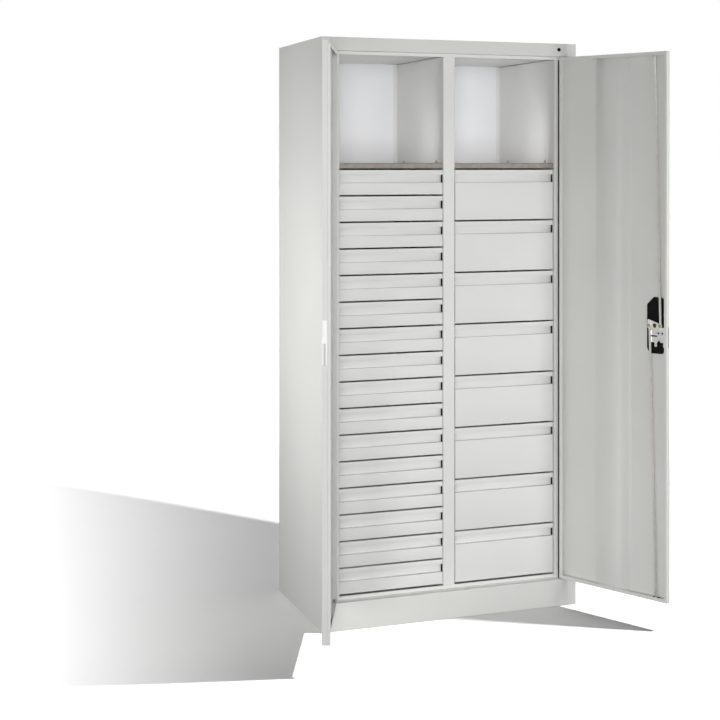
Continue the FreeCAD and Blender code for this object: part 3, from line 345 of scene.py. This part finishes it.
def rounded_copy(name, width, segments=2):
    """Copy of a CAD node with rounded edges, in place of the node."""
    source = nodes[name]
    mesh = source.data.copy()
    solid = bmesh.new()
    solid.from_mesh(mesh)
    bmesh.ops.remove_doubles(solid, verts=solid.verts, dist=SAME_POINT)
    bmesh.ops.dissolve_limit(
        solid, angle_limit=FLAT_ANGLE, verts=solid.verts, edges=solid.edges)
    solid.to_mesh(mesh)
    solid.free()
    piece = bpy.data.objects.new(name + "_folded", mesh)
    bpy.context.scene.collection.objects.link(piece)
    bevel = piece.modifiers.new("rounded folds", "BEVEL")
    bevel.width = width
    bevel.segments = segments
    bevel.limit_method = "ANGLE"
    bevel.angle_limit = FOLD_ANGLE
    bevel.harden_normals = True
    for face in mesh.polygons:
        face.use_smooth = True
    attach(piece, source["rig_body"])
    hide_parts(name)
    return piece


for name in drawers:
    rounded_copy(name, FOLD_RADIUS / 2)
print("rounded drawers", len(drawers))

# %% [markdown]
# The hat profiles that stiffen the doors are rolled from thin strip, so their long edges are
# soft. The same function rounds them, with a wider bevel.

# %% Stiffeners with soft edges
ROLLED_RADIUS = 2.5 * MM
STIFFENERS = ["left_door_stiffener", "right_door_stiffener"]

for name in STIFFENERS:
    rounded_copy(name, ROLLED_RADIUS / 2, 3)
print("soft stiffeners", len(STIFFENERS))

# %% [markdown]
# What repeats on the cabinet is made with Geometry Nodes: a small tree places one shape on a row
# of points. Each tree has named inputs for its sizes, realizes its instances and sets the
# finish. One helper sets the inputs, turns the result into a plain mesh and lets it ride on its
# body.

# %% Helpers for repeated pieces


def new_tree(name, sockets):
    """Geometry Nodes tree with the given inputs. Returns it and the node that holds them."""
    tree = bpy.data.node_groups.new(name, "GeometryNodeTree")
    tree.interface.new_socket("Geometry", in_out="OUTPUT", socket_type="NodeSocketGeometry")
    for label, kind in sockets:
        tree.interface.new_socket(label, in_out="INPUT", socket_type="NodeSocket" + kind)
    return tree, add_node(tree, "NodeGroupInput").outputs


def repeated(name, body, tree, values):
    """Plain mesh of what a tree makes with these input values. It rides on one body."""
    piece = bpy.data.objects.new(name, bpy.data.meshes.new(name + "_points"))
    bpy.context.scene.collection.objects.link(piece)
    modifier = piece.modifiers.new("repeat", "NODES")
    modifier.node_group = tree
    keys = {item.name: item.identifier
            for item in tree.interface.items_tree if item.in_out == "INPUT"}
    for label, value in values.items():
        modifier[keys[label]] = value
    graph = bpy.context.evaluated_depsgraph_get()
    mesh = bpy.data.meshes.new_from_object(piece.evaluated_get(graph), depsgraph=graph)
    piece.modifiers.clear()
    piece.data = mesh
    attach(piece, body)
    return piece


# %% [markdown]
# The grip recess of each drawer is a folded channel that is open at its ends. A thin black plate
# stands in each end. It is painted shade for the deep shade seen through the open end, and it
# shows as a narrow black slit beside each grip. The tree puts one plate at each end of a row of
# two points, and its sizes come from the drawer's own box.

# %% Black plates of painted shade at the ends of the grips
# Sizes of the black plates of painted shade.
SHADE_PLATE_THICKNESS = 1.2 * MM
GRIP_LIP = 16.0 * MM
GRIP_HEIGHT = 27.0 * MM
GRIP_DEPTH = 14.0 * MM
SHADE_PLATE_DEPTH = 8.5 * MM


def shade_plate_tree():
    tree, given = new_tree("grip_end_painted_shade", [
        ("First Cap", "Vector"), ("Span", "Vector"), ("Cap Size", "Vector"),
        ("Finish", "Material")])
    points = add_node(tree, "GeometryNodeMeshLine", {"mode": "OFFSET"}, {
        "Count": 2, "Start Location": given["First Cap"], "Offset": given["Span"]})
    plate = add_node(tree, "GeometryNodeMeshCube", inputs={"Size": given["Cap Size"]})
    placed = add_node(tree, "GeometryNodeInstanceOnPoints", inputs={
        "Points": points.outputs["Mesh"], "Instance": plate.outputs["Mesh"]})
    real = add_node(tree, "GeometryNodeRealizeInstances", inputs={
        "Geometry": placed.outputs["Instances"]})
    done = add_node(tree, "GeometryNodeSetMaterial", inputs={
        "Geometry": real.outputs["Geometry"], "Material": given["Finish"]})
    add_node(tree, "NodeGroupOutput", inputs={"Geometry": done.outputs["Geometry"]})
    return tree


# Each black plate is painted shade for the dark open end of a grip recess.
grip_shade_plates = shade_plate_tree()
for name in drawers:
    low, high = (Vector(corner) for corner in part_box(name))
    grip_top = high.z - GRIP_LIP
    cap_y = low.y + GRIP_DEPTH - SHADE_PLATE_DEPTH / 2
    first = Vector((low.x + SHADE_PLATE_THICKNESS / 2, cap_y, grip_top - GRIP_HEIGHT / 2))
    span = Vector((high.x - low.x - SHADE_PLATE_THICKNESS, 0.0, 0.0))
    size = Vector((SHADE_PLATE_THICKNESS, SHADE_PLATE_DEPTH, GRIP_HEIGHT))
    repeated(name + "_grip_caps", name, grip_shade_plates, {
        "First Cap": first, "Span": span, "Cap Size": size, "Finish": black_nylon})
print("painted shade plates at the grips", 2 * len(drawers))

# %% [markdown]
# The shelves are held by small angles, each with one button-head screw in the wall. The back
# wall is riveted to the flanges of the inner walls and of the partition. Both heads are low
# domes in straight rows, and a screw has a hexagon socket in its middle too. The socket is drawn
# as a flat black hexagon at the top of the dome: painted shade for the dark of its hollow. One
# tree makes them all: it flattens a ball, sinks its lower half into the sheet, adds the socket
# and repeats both along the row. A named attribute marks the socket, and the last node gives it
# its black of painted shade.

# %% Tree for rows of screws and rivets
BALL_SEGMENTS, BALL_RINGS = 16, 8
SOCKET_SIDES = 6
SOCKET_SHARE = 0.42
SOCKET_DEPTH_SHARE = 0.4
SOCKET_RISE = 0.80


def head_tree():
    tree, given = new_tree("row_of_heads", [
        ("First", "Vector"), ("Step", "Vector"), ("Count", "Int"), ("Turn", "Vector"),
        ("Radius", "Float"), ("Height", "Float"), ("Socket", "Float"),
        ("Finish", "Material"), ("Dark", "Material")])
    points = add_node(tree, "GeometryNodeMeshLine", {"mode": "OFFSET"}, {
        "Count": given["Count"], "Start Location": given["First"], "Offset": given["Step"]})
    size = add_node(tree, "ShaderNodeCombineXYZ", inputs={
        "X": given["Radius"], "Y": given["Radius"], "Z": given["Height"]})
    ball = add_node(tree, "GeometryNodeMeshUVSphere", inputs={
        "Segments": BALL_SEGMENTS, "Rings": BALL_RINGS, "Radius": 1.0})
    socket_radius = add_node(tree, "ShaderNodeMath", {"operation": "MULTIPLY"}, {
        0: given["Socket"], 1: SOCKET_SHARE})
    hexagon = add_node(tree, "GeometryNodeMeshCylinder", inputs={
        "Vertices": SOCKET_SIDES, "Radius": socket_radius.outputs["Value"],
        "Depth": SOCKET_DEPTH_SHARE})
    raised = add_node(tree, "GeometryNodeTransform", inputs={
        "Geometry": hexagon.outputs["Mesh"], "Translation": (0.0, 0.0, SOCKET_RISE)})
    marked = add_node(
        tree, "GeometryNodeStoreNamedAttribute", {"data_type": "BOOLEAN", "domain": "FACE"},
        {"Geometry": raised.outputs["Geometry"], "Name": "socket", "Value": True})
    head = add_node(tree, "GeometryNodeJoinGeometry")
    tree.links.new(ball.outputs["Mesh"], head.inputs["Geometry"])
    tree.links.new(marked.outputs["Geometry"], head.inputs["Geometry"])
    sized = add_node(tree, "GeometryNodeTransform", inputs={
        "Geometry": head.outputs["Geometry"], "Scale": size.outputs["Vector"]})
    turn = add_node(tree, "FunctionNodeEulerToRotation", inputs={"Euler": given["Turn"]})
    placed = add_node(tree, "GeometryNodeInstanceOnPoints", inputs={
        "Points": points.outputs["Mesh"], "Instance": sized.outputs["Geometry"],
        "Rotation": turn.outputs["Rotation"]})
    real = add_node(tree, "GeometryNodeRealizeInstances", inputs={
        "Geometry": placed.outputs["Instances"]})
    plain = add_node(tree, "GeometryNodeSetMaterial", inputs={
        "Geometry": real.outputs["Geometry"], "Material": given["Finish"]})
    # The socket faces get the black of painted shade.
    mark = add_node(tree, "GeometryNodeInputNamedAttribute", {"data_type": "BOOLEAN"}, {
        "Name": "socket"})
    done = add_node(tree, "GeometryNodeSetMaterial", inputs={
        "Geometry": plain.outputs["Geometry"], "Selection": mark.outputs["Attribute"],
        "Material": given["Dark"]})
    add_node(tree, "NodeGroupOutput", inputs={"Geometry": done.outputs["Geometry"]})
    return tree


heads = head_tree()


def row(name, first, step, count, turn, size, socket, finish):
    """Row of heads on the cabinet. A head points along Z before its turn."""
    return repeated(name, "cabinet", heads, {
        "First": first, "Step": step, "Count": count, "Turn": turn, "Radius": size[0],
        "Height": size[1], "Socket": socket, "Finish": finish, "Dark": black_nylon})


print("tree nodes", len(heads.nodes))

# %% [markdown]
# The screws sit in the middle of each angle's upright leg, a front and a back one on each wall.
# Their places come from the box of the angles.

# %% Screws of the shelf angles
SCREW_SIZE = (3.4 * MM, 1.7 * MM)
OPEN_SOCKET = 1.0
SCREWS_PER_WALL = 2
CLIP_WIDTH = 10.0 * MM
CLIP_SHEET = 1.5 * MM
PARTITION_HALF = 21.0 * MM
QUARTER_TURN = math.pi / 2

clip_low, clip_high = (Vector(corner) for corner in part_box("shelf_clips"))
screw_step = Vector((0.0, clip_high.y - clip_low.y - CLIP_WIDTH, 0.0))
screw_z = (clip_low.z + CLIP_SHEET + clip_high.z) / 2
screw_y = clip_low.y + CLIP_WIDTH / 2
SCREW_PLACES = {
    "left_wall": (clip_low.x + CLIP_SHEET, 1),
    "left_partition": (-PARTITION_HALF - CLIP_SHEET, -1),
    "right_partition": (PARTITION_HALF + CLIP_SHEET, 1),
    "right_wall": (clip_high.x - CLIP_SHEET, -1)}
for place, (x, side) in SCREW_PLACES.items():
    first = Vector((x, screw_y, screw_z))
    turn = Vector((0.0, side * QUARTER_TURN, 0.0))
    row(place + "_clip_screws", first, screw_step, SCREWS_PER_WALL, turn, SCREW_SIZE,
        OPEN_SOCKET, nickel)
print("screws", SCREWS_PER_WALL * len(SCREW_PLACES))

# %% [markdown]
# The rivets run up the back wall in four columns, one over each flange behind it, and they were
# coated together with the sheet. A rivet has no socket, so its socket is made too small to
# reach the outside of its head.

# %% Rivets of the back wall
RIVET_SIZE = (3.5 * MM, 1.0 * MM)
RIVET_STEP = 172.0 * MM
RIVET_FROM_WALL = 6.5 * MM
HIDDEN_SOCKET = 0.01
BACK_FACE = 229.0 * MM

partition_low, partition_high = (Vector(corner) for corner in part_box("centre_partition"))
rivet_count = int((partition_high.z - partition_low.z) / RIVET_STEP)
RIVET_COLUMNS = {
    "left_wall": clip_low.x + RIVET_FROM_WALL,
    "left_partition": -PARTITION_HALF - RIVET_FROM_WALL,
    "right_partition": PARTITION_HALF + RIVET_FROM_WALL,
    "right_wall": clip_high.x - RIVET_FROM_WALL}
rivet_step = Vector((0.0, 0.0, RIVET_STEP))
rivet_turn = Vector((-QUARTER_TURN, 0.0, 0.0))
for place, x in RIVET_COLUMNS.items():
    first = Vector((x, BACK_FACE, partition_low.z + RIVET_STEP / 2))
    row(place + "_rivets", first, rivet_step, rivet_count, rivet_turn, RIVET_SIZE,
        HIDDEN_SOCKET, coat_outside)
print("rivets", rivet_count * len(RIVET_COLUMNS))

# %% [markdown]
# The turning plate of the lock is stamped, so its edges are slightly rounded. Two brass pins
# pass through it and the lever's hub ends in a bronze bush. Copies of the plate and of the lever
# keep their own finish, and only these round faces get the other metal. The lock was drawn on
# the shut door, so a matrix that swings the open door shut finds their places.

# %% The lock's pins and bush
STAMPED_RADIUS = 0.5 * MM
PIVOT = Vector((419.0 * MM, -242.5 * MM, 0.0))
DOOR_ANGLE = 117.5
AXIS = Vector((51.0 * MM, 0.0, 1000.0 * MM))
CRANK_RADIUS = 20.5 * MM
PIN_HEAD_RADIUS = 5.6 * MM
HUB_RADIUS = 7.4 * MM
PLATE_FACE = -236.3 * MM
PLATE_BACK = -238.7 * MM

turned = Matrix.Rotation(math.radians(DOOR_ANGLE), 4, "Z")
swing = Matrix.Translation(PIVOT) @ turned @ Matrix.Translation(-PIVOT)
shut = swing.inverted()


def paint_faces(piece, material, offsets, radius, from_y):
    """Give a finish to the faces round some points beside the lock's axis, from a depth on."""
    piece.data.materials.append(material)
    painted = 0
    for face in piece.data.polygons:
        closed = shut @ face.center
        across, up = closed.x - AXIS.x, closed.z - AXIS.z
        reach = min(math.hypot(across - offset, up) for offset in offsets)
        if closed.y > from_y and reach < radius:
            face.material_index = len(piece.data.materials) - 1
            painted += 1
    return painted


cam = rounded_copy("lock_cam", STAMPED_RADIUS / 2)
lever = rounded_copy("lock_handle", STAMPED_RADIUS)
pins = (-CRANK_RADIUS, CRANK_RADIUS)
print("brass faces", paint_faces(cam, brass, pins, PIN_HEAD_RADIUS, PLATE_FACE))
print("bronze faces", paint_faces(lever, bronze, (0.0,), HUB_RADIUS, PLATE_BACK))

# %% [markdown]
# The floor is a pale studio floor under a white background. To the camera it is white where
# light falls on it, and a soft grey where the cabinet keeps the light off. On the left that grey
# fades out with the distance. The fade is painted light: a little light of the floor's own, for
# the camera alone, so it stays where it is from any side. It follows the slope of a place on the
# floor, which is its X over its Y as counted from a focus in front of the cabinet, the point
# under the camera. There is less of it near the cabinet and to the right, a painted shade that
# takes back the light which the doors and walls throw into the shadow.

# %% The floor's own light
SHADE_GLOW = 0.31
FULL_GLOW = 0.91
FADE_FOCUS = (1.883, 4.651, 0.0)
LEFT_FADE = (0.2854, 0.1195)
FADE_CURVE = 1.36
FAR_FADE = (2.4, 3.2)
# The next four set a painted shade: less of the floor's own light to the right and near the
# cabinet.
RIGHT_SLOPE = 0.40
RIGHT_PAINTED_SHADE = 0.13
NEAR_FADE = (1.2, 0.0)
NEAR_PAINTED_SHADE = 0.11


def floor_glow(material, place, seen):
    """Strength of the floor's own light, for the camera alone: painted light and painted shade.
    """
    from_focus = add_node(material, "ShaderNodeVectorMath", {"operation": "ADD"}, {
        0: place, 1: FADE_FOCUS})
    parts = add_node(material, "ShaderNodeSeparateXYZ", inputs={
        "Vector": from_focus.outputs["Vector"]})
    slope = add_node(material, "ShaderNodeMath", {"operation": "DIVIDE"}, {
        0: parts.outputs["X"], 1: parts.outputs["Y"]})
    # Painted light: the share of the fade of the shadow to the left.
    share = add_node(material, "ShaderNodeMapRange", inputs={
        "Value": slope.outputs["Value"], "From Min": LEFT_FADE[0], "From Max": LEFT_FADE[1]})
    left = add_node(material, "ShaderNodeMath", {"operation": "POWER"}, {
        0: share.outputs["Result"], 1: FADE_CURVE})
    distance = add_node(material, "ShaderNodeVectorMath", {"operation": "LENGTH"}, {0: place})
    far = add_node(material, "ShaderNodeMapRange", inputs={
        "Value": distance.outputs["Value"], "From Min": FAR_FADE[0], "From Max": FAR_FADE[1]})
    most = add_node(material, "ShaderNodeMath", {"operation": "MAXIMUM"}, {
        0: left.outputs["Value"], 1: far.outputs["Result"]})
    # Painted shade: less of the floor's own light to the right and near the cabinet.
    right = add_node(material, "ShaderNodeMapRange", inputs={
        "Value": slope.outputs["Value"], "From Min": LEFT_FADE[0], "From Max": RIGHT_SLOPE,
        "To Min": SHADE_GLOW, "To Max": SHADE_GLOW - RIGHT_PAINTED_SHADE})
    spot = add_node(material, "ShaderNodeSeparateXYZ", inputs={"Vector": place})
    near = add_node(material, "ShaderNodeMapRange", inputs={
        "Value": spot.outputs["Y"], "From Min": NEAR_FADE[0], "From Max": NEAR_FADE[1],
        "To Max": NEAR_PAINTED_SHADE})
    shade = add_node(material, "ShaderNodeMath", {"operation": "SUBTRACT"}, {
        0: right.outputs["Result"], 1: near.outputs["Result"]})
    level = add_node(material, "ShaderNodeMapRange", inputs={
        "Value": most.outputs["Value"], "To Min": shade.outputs["Value"], "To Max": FULL_GLOW})
    glow = add_node(material, "ShaderNodeMath", {"operation": "MULTIPLY"}, {
        0: level.outputs["Result"], 1: seen})
    return glow.outputs["Value"]


print("floor's own light", SHADE_GLOW, "in the shade and", FULL_GLOW, "far off")

# %% [markdown]
# A real studio floor is painted board or paper, so it is matt and has no shine. To the camera it
# is nearly white. To all other rays it is a dark grey, so that it throws little light back up
# at the cabinet.

# %% The floor
FLOOR_SIZE = 60.0
FLOOR_COLOUR = "F8F8F8"
FLOOR_BOUNCE = "5B5B5B"
FLOOR_ROUGHNESS = 0.9
WHITE = (1.0, 1.0, 1.0, 1.0)


def make_floor():
    mesh = bpy.data.meshes.new("studio_floor")
    half = FLOOR_SIZE / 2
    corners = [(-half, -half, 0), (half, -half, 0), (half, half, 0), (-half, half, 0)]
    mesh.from_pydata(corners, [], [(0, 1, 2, 3)])
    floor = bpy.data.objects.new("studio_floor", mesh)
    bpy.context.scene.collection.objects.link(floor)
    material, place = new_material("studio_floor_paint")
    seen = add_node(material, "ShaderNodeLightPath").outputs["Is Camera Ray"]
    paint = add_node(material, "ShaderNodeValToRGB", inputs={"Fac": seen},
                     stops=((0.0, FLOOR_BOUNCE), (1.0, FLOOR_COLOUR)))
    shader = add_node(material, "ShaderNodeBsdfPrincipled", inputs={
        "Base Color": paint.outputs["Color"], "Roughness": FLOOR_ROUGHNESS,
        "Specular IOR Level": 0.0, "Emission Color": WHITE,
        "Emission Strength": floor_glow(material, place, seen)})
    add_node(material, "ShaderNodeOutputMaterial", inputs={"Surface": shader.outputs["BSDF"]})
    mesh.materials.append(material)
    return floor


floor = make_floor()
print("floor", floor.name)

# %% [markdown]
# A soft box is a lamp behind a white cloth, which Blender has as an area light. The camera can't
# see the lamps themselves. Light linking decides what a lamp lights: a lamp can be kept off some
# pieces, or light some pieces alone.

# %% Helpers for lamps


def hang(name, lamp, place, aim):
    """Object for a lamp, turned so that it shines from its place to the aim."""
    holder = bpy.data.objects.new(name, lamp)
    holder.location = place
    holder.rotation_euler = (Vector(aim) - Vector(place)).to_track_quat("-Z", "Y").to_euler()
    holder.visible_camera = False
    bpy.context.scene.collection.objects.link(holder)
    return holder


def soft_box(name, place, aim, size, power):
    lamp = bpy.data.lights.new(name, "AREA")
    lamp.size = size
    lamp.energy = power
    return hang(name, lamp, place, aim)


def keep_off(holder, pieces):
    """Let a lamp light everything except these pieces."""
    receivers = bpy.data.collections.new("not lit by " + holder.name)
    for piece in pieces:
        receivers.objects.link(piece)
    for link in receivers.collection_objects:
        link.light_linking.link_state = "EXCLUDE"
    holder.light_linking.receiver_collection = receivers


def light_only(holder, pieces):
    """Let a lamp light these pieces alone."""
    receivers = bpy.data.collections.new("lit by " + holder.name)
    for piece in pieces:
        receivers.objects.link(piece)
    holder.light_linking.receiver_collection = receivers


# %% [markdown]
# Soft boxes light the cabinet: two from the camera's side, one from the front, one from the
# front right that the open right door half screens, one beside each side wall, one behind and
# one above. All of them leave the floor out. The open left door shades the plinth, so a small
# soft box adds light down there, and each door gets one of its own.

# %% Soft boxes
SOFT_BOXES = [
    ("door_screened_light", (2.33, -3.71, 1.0), (0.0, -0.25, 1.0), 0.6, 42),
    ("front_light", (0.9, -4.2, 1.0), (0.0, -0.25, 1.0), 1.0, 14),
    ("camera_light", (-2.2, -5.6, 1.9), (0.0, -0.25, 1.3), 1.2, 80),
    ("low_camera_light", (-2.2, -5.2, 0.9), (0.0, -0.25, 1.0), 1.2, 56),
    ("side_light", (-1.65, -0.1, 1.04), (-0.4, 0.0, 1.02), 0.6, 13.8),
    ("back_light", (0.9, 4.6, 1.5), (0.0, 0.25, 1.0), 1.5, 110),
    ("right_side_light", (4.2, 0.9, 1.2), (0.46, 0.0, 1.0), 1.2, 60),
    ("top_light", (0.3, 1.1, 4.4), (0.0, 0.2, 1.95), 1.5, 60),
]
PLINTH_LIGHT = ("plinth_light", (-1.15, -1.3, 0.10), (-0.25, -0.25, 0.05), 0.2, 6)
LEFT_DOOR_LIGHT = ("left_door_light", (1.6, -3.0, 1.0), (-0.5, -0.45, 1.0), 0.8, 34)
RIGHT_DOOR_LIGHT = ("right_door_light", (1.6, -3.0, 1.0), (0.5, -0.45, 1.0), 0.8, 14)
LEFT_DOOR = ["left_door_shell", "left_door_edge_channel", "strike_plate"]
RIGHT_DOOR = ["right_door_shell", "right_door_stiffener"]

left_door = [nodes[name] for name in LEFT_DOOR]
right_door = [nodes[name] for name in RIGHT_DOOR]
for lamp in SOFT_BOXES:
    keep_off(soft_box(*lamp), [floor])
keep_off(soft_box(*PLINTH_LIGHT), [floor] + left_door)
light_only(soft_box(*LEFT_DOOR_LIGHT), left_door)
light_only(soft_box(*RIGHT_DOOR_LIGHT), right_door)
lamps = [item.name for item in bpy.data.objects if item.type == "LIGHT"]
print("soft boxes", len(lamps), lamps)

# %% [markdown]
# A bright room sends light into the two compartments through their openings. A weak lamp in each
# opening stands for it, and no surface mirrors it.

# %% Glows in the compartments
GLOW_SIZE = (0.14, 0.12)
GLOWS = [
    ("left_compartment_glow", (-0.208, -0.20, 1.62), 0.37),
    ("right_compartment_glow", (0.208, -0.20, 1.62), 0.46),
]


def opening_glow(name, place, power):
    """Weak lamp that shines straight back from its place."""
    lamp = bpy.data.lights.new(name, "AREA")
    lamp.shape = "RECTANGLE"
    lamp.size, lamp.size_y = GLOW_SIZE
    lamp.energy = power
    x, y, z = place
    holder = hang(name, lamp, place, (x, y + 1.0, z))
    holder.visible_glossy = False


for glow in GLOWS:
    opening_glow(*glow)
print("glows", len(GLOWS))

# %% [markdown]
# One small lamp on the right lights the floor alone, so that the cabinet's shadow fans out to
# the left and has clear edges. A real lamp gets weaker with the distance. This one doesn't, so
# the lit floor is equally white everywhere.

# %% The floor's lamp
FLOOR_LAMP_PLACE = (1.43, -1.10, 1.90)
FLOOR_LAMP_POWER = 56
FLOOR_LAMP_RADIUS = 0.04


def floor_lamp(name, place, power, radius):
    lamp = bpy.data.lights.new(name, "POINT")
    lamp.energy = power
    lamp.shadow_soft_size = radius
    lamp.use_nodes = True
    lamp.node_tree.nodes.clear()
    even = add_node(lamp, "ShaderNodeLightFalloff", inputs={"Strength": 1.0})
    glow = add_node(lamp, "ShaderNodeEmission", inputs={"Strength": even.outputs["Constant"]})
    add_node(lamp, "ShaderNodeOutputLight", inputs={"Surface": glow.outputs["Emission"]})
    light_only(hang(name, lamp, place, (0, 0, 0)), [floor])


floor_lamp("floor_lamp", FLOOR_LAMP_PLACE, FLOOR_LAMP_POWER, FLOOR_LAMP_RADIUS)
print("power of the floor's lamp", FLOOR_LAMP_POWER)

# %% [markdown]
# Round the cabinet there is nothing but white. The camera and reflections find it fully white.
# To every other ray it is a weak light from all sides, which softens the deepest shades.

# %% White surroundings
AMBIENT = 0.10


def make_world(ambient):
    world = bpy.data.worlds.new("studio")
    world.use_nodes = True
    world.node_tree.nodes.clear()
    path = add_node(world, "ShaderNodeLightPath")
    straight = add_node(world, "ShaderNodeMath", {"operation": "MAXIMUM"}, {
        0: path.outputs["Is Camera Ray"], 1: path.outputs["Is Transmission Ray"]})
    seen = add_node(world, "ShaderNodeMath", {"operation": "MAXIMUM"}, {
        0: straight.outputs["Value"], 1: path.outputs["Is Glossy Ray"]})
    strength = add_node(world, "ShaderNodeMapRange", inputs={
        "Value": seen.outputs["Value"], "To Min": ambient, "To Max": 1.0})
    glow = add_node(world, "ShaderNodeBackground", inputs={
        "Color": WHITE, "Strength": strength.outputs["Result"]})
    add_node(world, "ShaderNodeOutputWorld", inputs={"Surface": glow.outputs["Background"]})
    bpy.context.scene.world = world


make_world(AMBIENT)
bpy.context.scene.view_settings.view_transform = "Standard"
print("ambient light", AMBIENT)
